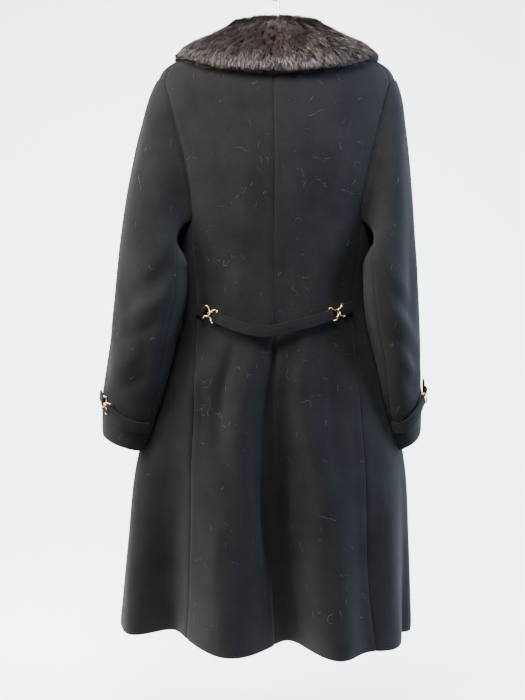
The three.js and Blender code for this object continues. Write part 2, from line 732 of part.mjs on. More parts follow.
// Half thicknesses of a strap along its length, with round eyes for bars at chosen ends.
function strapProfile(length, eyeAtStart) {
  const halves = [];
  const plainStart = eyeAtStart ? STRAP_END[STRAP_END.length - 1].fromTip : 0;
  const plainEnd = length - STRAP_END[STRAP_END.length - 1].fromTip;
  if (eyeAtStart) STRAP_END.forEach((row) => halves.push({ s: row.fromTip, half: row.half }));
  else halves.push({ s: 0, half: STRAP_THICKNESS / 2 });
  const steps = Math.max(Math.ceil((plainEnd - plainStart) / 9), 1);
  for (let step = 1; step < steps; step += 1) {
    halves.push({ s: mix(plainStart, plainEnd, step / steps), half: STRAP_THICKNESS / 2 });
  }
  [...STRAP_END].reverse().forEach((row) => halves.push({ s: length - row.fromTip, half: row.half }));
  return halves;
}

// The side view of a strap as flat points and triangles: an eye with its bore at each
// chosen end, and plain strips between.
function strapSide(profile, length, eyeAtStart) {
  const points = [];
  const triangles = [];
  const pointAt = ([x, y]) => {
    const found = points.findIndex((point) => Math.abs(point[0] - x) < 1e-6 && Math.abs(point[1] - y) < 1e-6);
    if (found >= 0) return found;
    points.push([x, y]);
    return points.length - 1;
  };
  const triangle = (a, b, c) => {
    const area = (b[0] - a[0]) * (c[1] - a[1]) - (b[1] - a[1]) * (c[0] - a[0]);
    const corners = area > 0 ? [a, b, c] : [a, c, b];
    triangles.push(corners.map(pointAt));
  };
  const eye = (rows, bore) => {
    const top = rows.filter((row) => row.half > 0).map((row) => [row.s, row.half]).reverse();
    const bottom = rows.map((row) => [row.s, -row.half]);
    const contour = [...bottom, ...top].map(([x, y]) => new THREE.Vector2(x, y));
    const hole = [];
    for (let k = 0; k < 8; k += 1) {
      const turn = (k * 45 + 22.5) * RAD;
      hole.push(new THREE.Vector2(bore + STRAP_BORE * Math.cos(turn), STRAP_BORE * Math.sin(turn)));
    }
    const all = [...contour, ...hole].map((point) => [point.x, point.y]);
    THREE.ShapeUtils.triangulateShape(contour, [hole]).forEach(([a, b, c]) => triangle(all[a], all[b], all[c]));
  };
  const eyeRows = STRAP_END.length;
  const firstPlain = eyeAtStart ? eyeRows - 1 : 0;
  const lastPlain = profile.length - eyeRows;
  for (let k = firstPlain; k < lastPlain; k += 1) {
    const here = profile[k];
    const next = profile[k + 1];
    triangle([here.s, -here.half], [next.s, -next.half], [next.s, next.half]);
    triangle([here.s, -here.half], [next.s, next.half], [here.s, here.half]);
  }
  eye(profile.slice(lastPlain), length - STRAP_BAR_FROM_TIP);
  if (eyeAtStart) eye([...profile.slice(0, eyeRows)].reverse(), STRAP_BAR_FROM_TIP);
  return { points, triangles };
}

// A strap along a curve of frames, each with a point, a tangent and a normal.
function strapGeometry(frameAt, length, width, eyeAtStart) {
  const { points, triangles } = strapSide(strapProfile(length, eyeAtStart), length, eyeAtStart);
  const placed = [];
  for (const offset of [-width / 2, width / 2]) {
    for (const [s, n] of points) {
      const frame = frameAt(s);
      const across = frame.tangent.clone().cross(frame.normal);
      placed.push(along(along(frame.point, frame.normal, n), across, offset));
    }
  }
  const count = points.length;
  const faces = [];
  const edges = new Set(triangles.flatMap(([a, b, c]) => [`${a}-${b}`, `${b}-${c}`, `${c}-${a}`]));
  for (const [a, b, c] of triangles) {
    faces.push([a + count, b + count, c + count], [a, c, b]);
    for (const [from, to] of [[a, b], [b, c], [c, a]]) {
      if (!edges.has(`${to}-${from}`)) {
        faces.push([from, to, to + count], [from, to + count, from + count]);
      }
    }
  }
  return meshFrom(placed, faces);
}

// Frames along a smooth line through points, with the normals given at the same points.
function frameLine(points, normals) {
  const curve = new THREE.CatmullRomCurve3(points);
  curve.arcLengthDivisions = 400;
  const normalCurve = new THREE.CatmullRomCurve3(normals);
  const length = curve.getLength();
  const frameAt = (s) => {
    const share = Math.min(Math.max(s / length, 0), 1);
    const tangent = curve.getTangentAt(share);
    const normal = normalCurve.getPoint(curve.getUtoTmapping(share));
    normal.addScaledVector(tangent, -normal.dot(tangent)).normalize();
    return { point: curve.getPointAt(share), tangent, normal };
  };
  return { frameAt, length };
}

// A closed wire link: a straight bar through a strap's eye and two legs to a narrow bend.
function linkGeometry(frame, depth, strapWidth) {
  const half = strapWidth / 2 + SEAM_GAP + LINK_ROD;
  const bend = LINK_BEND;
  const oneSide = [
    [0, half - 1.2],
    [0.5, half - 0.2],
    [1.6, half + 0.15],
    [4.4, half],
    [mix(4.4, depth - bend, 0.5), mix(half, bend, 0.55)],
    [depth - bend * 1.1, bend],
    [depth - bend * (1 - Math.cos(55 * RAD)), bend * Math.sin(55 * RAD)],
    [depth - bend * (1 - Math.cos(25 * RAD)), bend * Math.sin(25 * RAD)],
  ];
  const plan = [[0, 0], ...oneSide, [depth, 0], ...oneSide.map(([t, w]) => [t, -w]).reverse()];
  const across = frame.tangent.clone().cross(frame.normal);
  const points = plan.map(([t, w]) => {
    const rise = w * LINK_TWIST * smoothStep(2, depth - bend, t);
    return along(along(along(frame.point, frame.tangent, t), across, w), frame.normal, rise);
  });
  const count = points.length;
  const sections = points.map((point, k) => {
    const tangent = points[(k + 1) % count].clone().sub(points[(k + count - 1) % count]).normalize();
    const up = frame.normal.clone().addScaledVector(tangent, -frame.normal.dot(tangent)).normalize();
    const sideways = tangent.clone().cross(up);
    const section = [];
    for (let corner = 0; corner < 6; corner += 1) {
      const turn = corner * 60 * RAD;
      const offset = along(point, up, LINK_ROD * Math.cos(turn));
      section.push(offset.addScaledVector(sideways, LINK_ROD * Math.sin(turn)));
    }
    return section;
  });
  return solidThrough(sections, true);
}

// The frame of a link's bar in the eye at the end of a strap, looking out of that end.
function barFrame(line, atStart) {
  const s = atStart ? STRAP_BAR_FROM_TIP : line.length - STRAP_BAR_FROM_TIP;
  const frame = line.frameAt(s);
  if (atStart) frame.tangent.negate();
  return frame;
}

// A short straight tab from its seam towards the place where two links meet.
function tabLine(start, normal, meeting, depth) {
  const direction = meeting.clone().sub(start).normalize();
  const barDistance = start.distanceTo(meeting) - (depth - LINK_OVERLAP / 2);
  const length = barDistance + STRAP_BAR_FROM_TIP;
  const up = normal.clone().addScaledVector(direction, -normal.dot(direction)).normalize();
  const points = [0, 0.5, 1].map((share) => along(start, direction, length * share));
  return frameLine(points, [up, up.clone(), up.clone()]);
}

// The fur collar

const COLLAR_STEPS = 30;
const COLLAR_UNDERSIDE = [0.02, 0.25, 0.5, 0.75, 1];
const COLLAR_STAND_INSET = 15;
const COLLAR_TOP = [
  { share: 1.0, thick: 0.55, beyond: 7 },
  { share: 0.84, thick: 0.95, beyond: 0 },
  { share: 0.6, thick: 1.05, beyond: 0 },
  { share: 0.34, thick: 1.1, beyond: 0 },
];

// One section of the collar: its underside along the body, the fall above it and the stand.
function collarSection(angle) {
  const size = (column) => columnAt(COLLAR, 'angle', column, Math.abs(angle));
  const edge = size('edge');
  const ends = smoothStep(0, 10, COLLAR_END_ANGLE - Math.abs(angle));
  const full = mix(0.5, 1, ends);
  const lift = mix(COLLAR_LIFT.back, COLLAR_LIFT.front, smoothStep(85, 125, Math.abs(angle)));
  const onBody = (share, height) => {
    const ring = edge * share;
    return along(bodyPoint(angle, ring), bodyNormal(angle, ring), height);
  };
  const section = COLLAR_UNDERSIDE.map((share) => onBody(share, lift));
  for (const row of COLLAR_TOP) {
    const point = onBody(row.share, lift + size('thick') * row.thick * full);
    if (row.beyond > 0) {
      const outward = onBody(1, 0).sub(onBody(0.94, 0)).normalize();
      point.addScaledVector(outward, row.beyond);
    }
    section.push(point);
  }
  const neck = bodyPoint(angle, 0);
  const radial = new THREE.Vector3(neck.x, neck.y, 0).normalize();
  const topZ = mix(neck.z, size('topZ'), full);
  const rollOuter = along(neck, radial, 8 - size('topIn'));
  section.push(new THREE.Vector3(rollOuter.x, rollOuter.y, topZ - 5));
  const roll = along(neck, radial, -size('topIn') / 2);
  section.push(new THREE.Vector3(roll.x, roll.y, topZ));
  const rollInner = along(neck, radial, -size('topIn') - 8);
  section.push(new THREE.Vector3(rollInner.x, rollInner.y, topZ - 6));
  const stand = along(neck, radial, -COLLAR_STAND_INSET);
  section.push(new THREE.Vector3(stand.x, stand.y, mix(neck.z, topZ, 0.25) + 2));
  return section;
}

function collarGeometry() {
  const sections = [];
  for (let step = 0; step <= COLLAR_STEPS; step += 1) {
    sections.push(collarSection(mix(-COLLAR_END_ANGLE, COLLAR_END_ANGLE, step / COLLAR_STEPS)));
  }
  return solidThrough(sections, false);
}

// The hanger

const HANGER_SPREAD = [
  { ring: 0.05 },
  { ring: 0.5 },
  { ring: 1 },
  { ring: 1.5 },
  { ring: 2 },
  { ring: 2.3 },
];
const HANGER_BELOW = 1.1;
const HANGER_NECK = { halfWidth: 11, z: -108 };

function hangerGeometry() {
  const top = HANGER_SPREAD.map(({ ring }) => {
    const point = bodyPoint(90, ring);
    return along(point, bodyNormal(90, ring), -WALL - HANGER_BELOW);
  });
  const right = [
    [HANGER_NECK.halfWidth, HANGER_NECK.z],
    [HANGER_NECK.halfWidth + 12, HANGER_NECK.z - 8],
    ...top.map((point) => [point.x, point.z]),
  ];
  const end = top[top.length - 1];
  const under = [
    [end.x + 2, end.z - 10],
    [end.x - 6, end.z - HANGER_HEIGHT + 2],
    ...[...top].reverse().slice(1).map((point) => [point.x - 5, point.z - HANGER_HEIGHT - 4]),
    [0, HANGER_NECK.z - HANGER_HEIGHT - 16],
  ];
  const half = [...right, ...under];
  const outline = new THREE.Shape();
  half.forEach(([x, z], k) => (k === 0 ? outline.moveTo(x, z) : outline.lineTo(x, z)));
  [...half].reverse().slice(1).forEach(([x, z]) => outline.lineTo(-x, z));
  const settings = { depth: 2 * HANGER_HALF_DEPTH, bevelEnabled: false, steps: 1 };
  const geometry = new THREE.ExtrudeGeometry(outline, settings);
  geometry.translate(0, 0, -HANGER_HALF_DEPTH);
  geometry.rotateX(90 * RAD);
  return geometry;
}

function hookGeometry() {
  const centreZ = HOOK_WIRE - HOOK_RADIUS;
  const foot = HANGER_NECK.z + SEAM_GAP;
  const points = [
    new THREE.Vector3(HOOK_STEM_X, 0, foot),
    new THREE.Vector3(HOOK_STEM_X, 0, foot + 24),
    new THREE.Vector3(HOOK_STEM_X, 0, foot + 48),
    new THREE.Vector3(HOOK_STEM_X - 1.2, 0, centreZ - HOOK_RADIUS - 3),
  ];
  for (let turn = -112; turn >= -372; turn -= 20) {
    const x = HOOK_RADIUS * Math.cos(turn * RAD);
    points.push(new THREE.Vector3(x, 0, centreZ + HOOK_RADIUS * Math.sin(turn * RAD)));
  }
  const curve = new THREE.CatmullRomCurve3(points);
  const section = new THREE.Shape();
  for (let corner = 0; corner < 8; corner += 1) {
    const turn = corner * 45 * RAD;
    const x = HOOK_WIRE * Math.cos(turn);
    const y = HOOK_WIRE * Math.sin(turn);
    if (corner === 0) section.moveTo(x, y);
    else section.lineTo(x, y);
  }
  return new THREE.ExtrudeGeometry(section, { steps: 40, bevelEnabled: false, extrudePath: curve });
}

function buttonGeometry() {
  const profile = [
    [0, 0], [BUTTON_RADIUS - 1, 0], [BUTTON_RADIUS, 1.4], [BUTTON_RADIUS - 1, BUTTON_THICKNESS],
    [BUTTON_RADIUS - 4, BUTTON_THICKNESS - 0.8], [0, BUTTON_THICKNESS - 1.2],
  ].map(([radius, height]) => new THREE.Vector2(radius, height));
  return new THREE.LatheGeometry(profile, 16);
}

// Assembly

const coat = new THREE.Group();

function material(kind) {
  return new THREE.MeshStandardMaterial(COLOURS[kind]);
}

function addPiece(name, geometry, kind) {
  const mesh = new THREE.Mesh(geometry, material(kind));
  mesh.name = name;
  coat.add(mesh);
  return mesh;
}

for (const side of ['left', 'right']) {
  addPiece(`back_${side}`, backPanel(side), 'wool');
  addPiece(`front_${side}`, frontPanel(side), 'wool');
  const upper = sleeveArounds(FRONT_SEAM_AROUND, BACK_SEAM_AROUND + 360);
  const under = sleeveArounds(BACK_SEAM_AROUND, FRONT_SEAM_AROUND);
  addPiece(`sleeve_${side}_upper`, sleevePiece(side, upper), 'wool');
  addPiece(`sleeve_${side}_under`, sleevePiece(side, under), 'wool');
}

addPiece('collar_fur', collarGeometry(), 'fur');

function beltLine() {
  const points = [];
  const normals = [];
  for (const row of BELT_LINE) {
    const place = backPlace(row.x, row.z);
    const normal = bodyNormal(place.angle, place.ring);
    points.push(along(bodyPoint(place.angle, place.ring), normal, row.standOff));
    normals.push(normal);
  }
  return frameLine(points, normals);
}

const belt = beltLine();
addPiece('half_belt', strapGeometry(belt.frameAt, belt.length, BELT_WIDTH, true), 'wool');

const TAB_LIFT = 3.7;

for (const side of ['left', 'right']) {
  const end = BELT_ENDS[side];
  const bar = barFrame(belt, side === 'left');
  const meeting = along(bar.point, bar.tangent, end.depth - LINK_OVERLAP / 2);
  const place = backPlace(end.tabX, end.tabZ);
  const normal = bodyNormal(place.angle, place.ring);
  const start = along(bodyPoint(place.angle, place.ring), normal, TAB_LIFT);
  const tab = tabLine(start, normal, meeting, end.depth);
  addPiece(`belt_tab_${side}`, strapGeometry(tab.frameAt, tab.length, BELT_WIDTH, false), 'wool');
  addPiece(`belt_link_${side}_a`, linkGeometry(barFrame(tab, false), end.depth, BELT_WIDTH), 'gold');
  addPiece(`belt_link_${side}_b`, linkGeometry(bar, end.depth, BELT_WIDTH), 'gold');
}

// The place along a sleeve at a distance below the origin, for a point in its tube.
function placeDown(side, down) {
  return 1 + (down + SLEEVE_START_Z) / (-SLEEVES[side].cuffZ + SLEEVE_START_Z);
}

const CUFF_STRAP_LIFT = { start: 3.2, end: 5.4 };
const CUFF_STRAP_STEPS = 12;

// Evenly spaced places along a strap's line of sleeve places.
function strapPlaces(line) {
  const rows = line.map((row, k) => ({ ...row, share: k / (line.length - 1) }));
  const places = [];
  for (let step = 0; step <= CUFF_STRAP_STEPS; step += 1) {
    const share = step / CUFF_STRAP_STEPS;
    places.push({
      around: columnAt(rows, 'share', 'around', share),
      down: columnAt(rows, 'share', 'down', share),
    });
  }
  return places;
}

// How far the sleeve rises above the tangent plane at a point, within the width of a strap.
function swellBeside(side, row, point, normal) {
  const rises = [0];
  for (const turn of [-10, 0, 10]) {
    for (const step of [-1, -0.5, 0.5, 1]) {
      const place = placeDown(side, row.down + (step * CUFF_STRAP_WIDTH) / 2);
      rises.push(sleevePoint(side, row.around + turn, place).sub(point).dot(normal));
    }
  }
  return Math.max(...rises);
}

for (const side of ['left', 'right']) {
  const trim = CUFF_TRIM[side];
  const places = strapPlaces(trim.line);
  const normals = places.map((row) => sleeveNormal(side, row.around, placeDown(side, row.down)));
  const points = places.map((row, k) => {
    const lift = mix(CUFF_STRAP_LIFT.start, CUFF_STRAP_LIFT.end, k / (places.length - 1));
    const point = sleevePoint(side, row.around, placeDown(side, row.down));
    return along(point, normals[k], lift + swellBeside(side, row, point, normals[k]));
  });
  const strap = frameLine(points, normals);
  addPiece(`cuff_strap_${side}`, strapGeometry(strap.frameAt, strap.length, CUFF_STRAP_WIDTH, false), 'wool');
  const bar = barFrame(strap, false);
  const meeting = along(bar.point, bar.tangent, trim.depth - LINK_OVERLAP / 2);
  const place = placeDown(side, trim.tab.down);
  const normal = sleeveNormal(side, trim.tab.around, place);
  const start = along(sleevePoint(side, trim.tab.around, place), normal, TAB_LIFT);
  const tab = tabLine(start, normal, meeting, trim.depth);
  addPiece(`cuff_tab_${side}`, strapGeometry(tab.frameAt, tab.length, CUFF_STRAP_WIDTH, false), 'wool');
  addPiece(`cuff_link_${side}_a`, linkGeometry(barFrame(tab, false), trim.depth, CUFF_STRAP_WIDTH), 'gold');
  addPiece(`cuff_link_${side}_b`, linkGeometry(bar, trim.depth, CUFF_STRAP_WIDTH), 'gold');
}

const BUTTON_ANGLE = 180;
const BUTTON_LIFT = 0.5;

for (const row of BUTTONS) {
  const ring = ringAtHeight(BUTTON_ANGLE, -row.down);
  const normal = bodyNormal(BUTTON_ANGLE, ring);
  const button = addPiece(row.name, buttonGeometry(), 'button');
  button.position.copy(along(bodyPoint(BUTTON_ANGLE, ring), normal, BUTTON_LIFT));
  button.quaternion.setFromUnitVectors(new THREE.Vector3(0, 1, 0), normal);
}

addPiece('hanger_body', hangerGeometry(), 'hanger');
addPiece('hanger_hook', hookGeometry(), 'wire');

export default coat;
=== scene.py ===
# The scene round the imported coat: finer cloth, fur, trim, materials, light and camera.
# Sizes are in millimetres until a mesh is made.  -Y is the back of the coat, +X is the
# wearer's right, +Z is up, and the origin is the inner top of the hanger's hook.
import math

import bpy
import numpy as np
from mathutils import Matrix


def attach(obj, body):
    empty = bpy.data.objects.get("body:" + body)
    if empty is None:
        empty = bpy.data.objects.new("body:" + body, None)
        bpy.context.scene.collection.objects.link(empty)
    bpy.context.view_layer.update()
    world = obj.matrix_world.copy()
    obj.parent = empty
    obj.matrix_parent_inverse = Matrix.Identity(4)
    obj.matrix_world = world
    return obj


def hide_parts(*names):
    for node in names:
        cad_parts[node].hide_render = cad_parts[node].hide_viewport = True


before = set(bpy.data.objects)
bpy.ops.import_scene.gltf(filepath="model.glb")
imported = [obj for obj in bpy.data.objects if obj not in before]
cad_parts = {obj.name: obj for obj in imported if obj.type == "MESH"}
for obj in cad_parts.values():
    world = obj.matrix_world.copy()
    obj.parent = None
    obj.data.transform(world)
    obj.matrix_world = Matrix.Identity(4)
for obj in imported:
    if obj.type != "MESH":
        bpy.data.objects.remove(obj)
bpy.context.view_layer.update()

MM = 0.001
WALL = 2.4
SEAM_GAP = 0.35
# The solids stand SEAM_GAP apart at a seam.  The cloth laps by this much instead, so that no
# light shows through.
SEAM_CLOSE = -0.05
UNDERLAP_DROP = 3.4
SECTION_POWER = 2.2
HEM_Z = -1108
OVERLAP_ANGLE = 8.5
SLEEVE_CLEARANCE = 3.6


def table(columns, rows):
    """Rows of numbers as arrays by column name."""
    return {name: np.array([row[k] for row in rows], float) for k, name in enumerate(columns.split())}


# Sections of the body from the neckline over the shoulders and down to the hem.
BODY_RINGS = table("at sideZ backZ frontZ half back front centre", [
    (0, -116, -126, -178, 80, 62, 68, 0),
    (1, -131, -149, -190, 125, 78, 82, 0),
    (2, -149, -178, -210, 168, 90, 95, 0),
    (3, -178, -219, -240, 199, 98, 103, 0),
    (4, -262, -284, -290, 203, 103, 109, 0),
    (5, -350, -352, -352, 195, 105, 112, 0),
    (6, -450, -450, -450, 174, 102, 109, -2),
    (7, -570, -570, -570, 158, 97, 103, -4),
    (8, -690, -690, -690, 192, 99, 107, -6),
    (9, -820, -820, -820, 226, 98, 110, -10),
    (10, -960, -960, -960, 237, 93, 112, -13),
    (11, -1108, -1108, -1108, 242.5, 86, 112, -14.5),
])
LAST_RING = 11

# Soft folds of the skirt, as in the solids.
SKIRT_FOLDS = table("hemAngle topAngle topZ height width growth", [
    (-47, -38, -600, -62, 17, 1.5),
    (-12, -16, -600, 32, 12, 1.4),
    (7, 1.5, -560, -46, 7.5, 1.1),
    (23, 20, -600, 46, 11, 1.4),
    (48, 48, -640, 26, 13, 1.5),
    (74, 72, -700, -16, 10, 1.6),
    (112, 108, -620, 24, 14, 1.4),
    (141, 140, -640, -22, 11, 1.5),
    (-139, -141, -660, -18, 12, 1.6),
    (-108, -112, -640, 28, 14, 1.4),
])

# The armhole's edge on the body: degrees round the hole, from its top towards the back
ARMHOLE = table("around angle ring", [
    (0, 90, 2.98), (14, 82, 3.0), (27, 74, 3.07), (40, 65, 3.2), (56, 57.5, 3.55),
    (72, 51.5, 4.05), (88, 47.5, 4.55), (104, 45.5, 5.05), (121, 46, 5.45), (138, 48.5, 5.8),
    (154, 60, 5.79), (170, 74, 5.75), (186, 88, 5.69), (202, 102, 5.61), (218, 114, 5.48),
    (235, 124, 5.25), (252, 131, 4.95), (270, 134, 4.6), (288, 133, 4.2), (304, 128, 3.8),
    (318, 120, 3.45), (332, 110, 3.18), (346, 99, 3.03), (360, 90, 2.98),
])
SHOULDER_TIP_AROUND = 40
BACK_SEAM_AROUND = 138
FRONT_SEAM_AROUND = 235
TIP_RING = 3.2
JUNCTION_RING = 5.8
ARMHOLE_MIDDLE = {"angle": 88, "ring": 4.5}

SIDE_BACK_SEAM = table("ring left right", [
    (5.8, 48.5, 48.5), (6.2, 50.5, 50.5), (7, 50.6, 51), (7.66, 43.5, 45.5),
    (8.5, 35.8, 39.8), (9.35, 32.8, 38.2), (10.3, 32.4, 37.8), (11, 34, 40.4),
])
CENTRE_BACK_SEAM = table("ring angle", [(0, -2.6), (3, -1.3), (7, -0.7), (9, 0.8), (11, 2.4)])

# The sleeves hang as tubes below this height.  A fold is the degrees round the sleeve, the
# millimetres down, how high it is, how wide and how long.
SLEEVE_START_Z = -500
SLEEVES = {
    "left": {
        "sign": -1, "tilt": 15, "cuffZ": -784,
        "sections": table("down outer inner centreY halfDepth lean", [
            (500, 266, 145, -38, 65, 20), (548, 270, 146, -42, 62, 20), (596, 275, 158, -41, 58, 18),
            (650, 282, 170, -36, 55, 15), (715, 292, 187, -22, 51, 12), (784, 295, 206, -8, 47, 8),
        ]),
        "folds": [(60, 560, -6, 26, 60), (105, 640, -5, 20, 45), (70, 668, 3, 22, 26), (130, 470, 5, 22, 90)],
    },
    "right": {
        "sign": 1, "tilt": 17, "cuffZ": -780,
        "sections": table("down outer inner centreY halfDepth lean", [
            (500, 234, 138, -32, 74, 22), (548, 236, 140, -36, 73, 22), (596, 238, 147, -34, 70, 20),
            (650, 241, 160, -27, 67, 16), (715, 244, 172, -13, 62, 12), (780, 245, 187, 2, 57, 8),
        ]),
        "folds": [(55, 540, -7, 18, 90), (100, 590, 5, 18, 80), (65, 660, -3, 16, 28), (128, 450, 5, 20, 80)],
    },
}

# The collar by degrees from the centre back: ring of its edge, height and inset of its roll,
# and thickness with the fur
COLLAR = table("angle edge topZ topIn thick", [
    (0, 2.52, -87, 10, 24), (35, 2.42, -86, 10, 23), (62, 2.1, -82, 8, 17), (90, 1.88, -80, 6, 14),
    (125, 2.0, -100, 3, 21), (152, 2.25, -128, 2, 25), (170, 2.3, -152, 2, 22),
])
COLLAR_END_ANGLE = 170
COLLAR_LIFT = {"back": 1.2, "front": 4.3}


def column_at(rows, along, column, position):
    """The value of one column at positions along another, rising one, as a smooth curve."""
    keys, values = rows[along], rows[column]
    place = np.clip(position, keys[0], keys[-1])
    k = np.clip(np.searchsorted(keys, place, side="left") - 1, 0, len(keys) - 2)
    low = np.maximum(np.arange(len(keys)) - 1, 0)
    high = np.minimum(np.arange(len(keys)) + 1, len(keys) - 1)
    slope = (values[high] - values[low]) / (keys[high] - keys[low])
    span = keys[k + 1] - keys[k]
    t = (place - keys[k]) / span
    return ((2 * t**3 - 3 * t**2 + 1) * values[k] + (t**3 - 2 * t**2 + t) * span * slope[k]
            + (3 * t**2 - 2 * t**3) * values[k + 1] + (t**3 - t**2) * span * slope[k + 1])


def mix(a, b, share):
    return a + (b - a) * share


def smooth_step(start, end, value):
    t = np.clip((value - start) / (end - start), 0, 1)
    return t * t * (3 - 2 * t)


def round_power(value, power):
    return np.sign(value) * np.abs(value) ** power


def unit(vectors):
    return vectors / np.maximum(np.linalg.norm(vectors, axis=-1, keepdims=True), 1e-9)


def row_at(rows, along, position):
    """All the other columns at positions along one."""
    return {name: column_at(rows, along, name, position) for name in rows if name != along}


def armhole_at(around):
    """The angle and ring on the body of places round the armhole."""
    return row_at(ARMHOLE, "around", around)


def spline(p0, p1, p2, p3, t):
    """The smooth curve from p1 to p2 at t from 0 to 1."""
    return 0.5 * (2 * p1 + (p2 - p0) * t + (2 * p0 - 5 * p1 + 4 * p2 - p3) * t**2
                  + (3 * p1 - p0 - 3 * p2 + p3) * t**3)


# The body surface

def ring_sizes(ring):
    return row_at(BODY_RINGS, "at", ring)


def fold_height(angle, z):
    height = np.zeros(np.broadcast(angle, z).shape)
    for hem_angle, top_angle, top_z, rise, width, growth in zip(*SKIRT_FOLDS.values()):
        down = np.clip((top_z - z) / (top_z - HEM_Z), 0, 1)
        away = (angle - mix(top_angle, hem_angle, down) + 540) % 360 - 180
        height = height + rise * down**growth * np.exp(-((away / width) ** 2))
    return height


def body_point(angle, ring):
    angle, ring = np.broadcast_arrays(np.asarray(angle, float), np.asarray(ring, float))
    sizes = ring_sizes(ring)
    sine, cosine = np.sin(np.radians(angle)), np.cos(np.radians(angle))
    depth = np.where(cosine > 0, sizes["back"], sizes["front"])
    end_z = np.where(cosine > 0, sizes["backZ"], sizes["frontZ"])
    x = sizes["half"] * round_power(sine, 2 / SECTION_POWER)
    y = -depth * round_power(cosine, 2 / SECTION_POWER)
    z = sizes["sideZ"] * sine**2 + end_z * cosine**2
    outward = unit(np.stack([x / sizes["half"] ** 2, y / depth**2, np.zeros_like(x)], -1))
    point = np.stack([x + sizes["centre"], y, z], -1)
    return point + outward * fold_height(angle, z)[..., None]


def body_normal(angle, ring):
    down = body_point(angle, ring + 0.02) - body_point(angle, ring - 0.02)
    turn = body_point(angle + 0.5, ring) - body_point(angle - 0.5, ring)
    return unit(np.cross(down, turn))


def ring_at_height(angle, z):
    share = np.sin(np.radians(angle)) ** 2
    back = np.cos(np.radians(angle)) > 0
    low, high = np.zeros(np.shape(z)), np.full(np.shape(z), float(LAST_RING))
    for _ in range(20):
        middle = (low + high) / 2
        side_z, back_z, front_z = (column_at(BODY_RINGS, "at", name, middle)
                                   for name in ("sideZ", "backZ", "frontZ"))
        above = side_z * share + np.where(back, back_z, front_z) * (1 - share) > z
        low, high = np.where(above, middle, low), np.where(above, high, middle)
    return (low + high) / 2


def keep_clear(point, distance):
    """Points moved out of the body section at their height, to a clear distance from it."""
    x, y, z = point[..., 0], point[..., 1], point[..., 2]
    angle = np.degrees(np.arctan2(x / 2, -y))
    for _ in range(4):
        sizes = ring_sizes(ring_at_height(angle, z))
        depth = np.where(y < 0, sizes["back"], sizes["front"])
        sine = round_power((x - sizes["centre"]) / sizes["half"], SECTION_POWER / 2)
        cosine = round_power(-y / depth, SECTION_POWER / 2)
        angle = np.degrees(np.arctan2(sine, cosine))
    sizes = ring_sizes(ring_at_height(angle, z))
    margin = distance + np.maximum(fold_height(angle, z), 0)
    depth = np.where(y < 0, sizes["back"], sizes["front"]) + margin
    from_centre = x - sizes["centre"]
    extent = (np.abs(from_centre / (sizes["half"] + margin)) ** SECTION_POWER
              + np.abs(y / depth) ** SECTION_POWER)
    scale = np.where(extent < 1, np.maximum(extent, 1e-6) ** (-1 / SECTION_POWER), 1)
    return np.stack([sizes["centre"] + from_centre * scale, y * scale, z], -1)


def gap_angle(ring):
    """Half the seam gap as degrees round the body."""
    return SEAM_CLOSE / 2 / (np.radians(column_at(BODY_RINGS, "at", "half", ring)) * 0.7)



# Meshes

def grid_faces(rows, columns, first=0, flip=False):
    r, c = np.meshgrid(np.arange(rows - 1), np.arange(columns - 1), indexing="ij")
    a = first + r * columns + c
    quads = np.stack([a, a + columns, a + columns + 1, a + 1], -1).reshape(-1, 4)
    return (quads[:, ::-1] if flip else quads).tolist()


def rim_faces(rows, columns):
    """Faces that close two stacked grids round their rims."""
    index = np.arange(rows * columns).reshape(rows, columns)
    loop = np.concatenate([index[0], index[1:, -1], index[-1, -2::-1], index[-2:0:-1, 0]])
    after = np.roll(loop, -1)
    return np.stack([loop, after, after + index.size, loop + index.size], -1).tolist()


def ring_faces(rows, columns, closed=False):
    """Faces round a stack of rings, with capped ends unless the stack closes on itself."""
    faces = [(r * columns + c, (r + 1) % rows * columns + c,
              (r + 1) % rows * columns + (c + 1) % columns, r * columns + (c + 1) % columns)
             for r in range(rows if closed else rows - 1) for c in range(columns)]
    if not closed:
        faces += [tuple(range(columns - 1, -1, -1)),
                  tuple((rows - 1) * columns + c for c in range(columns))]
    return faces


def facing_out(points, faces):
    """The faces of a closed form, all turned over where its volume is negative."""
    tri = np.array([(f[0], f[k], f[k + 1]) for f in faces for k in range(1, len(f) - 1)])
    a, b, c = points[tri[:, 0]], points[tri[:, 1]], points[tri[:, 2]]
    turn = np.einsum("ij,ij->i", a, np.cross(b, c)).sum() < 0
    return [face[::-1] for face in faces] if turn else faces


def in_scene(name, data):
    piece = bpy.data.objects.new(name, data)
    bpy.context.scene.collection.objects.link(piece)
    return piece


def quick_mesh(name, points, loops, starts):
    """A smooth object from points in millimetres and the flat lists of its faces."""
    mesh = bpy.data.meshes.new(name)
    mesh.vertices.add(len(points))
    mesh.vertices.foreach_set("co", (points * MM).astype(np.float32).ravel())
    mesh.loops.add(len(loops))
    mesh.loops.foreach_set("vertex_index", loops.astype(np.int32))
    mesh.polygons.add(len(starts))
    mesh.polygons.foreach_set("loop_start", starts.astype(np.int32))
    mesh.update(calc_edges=True)
    mesh.validate()
    mesh.shade_smooth()
    return in_scene(name, mesh)


def closed_form(name, points, faces, sharp=50):
    """A closed object, with its edges sharp past an angle in degrees."""
    points = points.reshape(-1, 3)
    faces = facing_out(points, faces)
    loops = np.array([index for face in faces for index in face])
    starts = np.cumsum([0] + [len(face) for face in faces[:-1]])
    piece = quick_mesh(name, points, loops, starts)
    piece.data.set_sharp_from_angle(angle=math.radians(sharp))
    return piece


def finish_piece(piece, material, slot, *nodes):
    piece.data.materials.clear()
    piece.data.materials.append(material)
    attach(piece, "root")
    if nodes:
        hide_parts(*nodes)
    return piece


# Materials

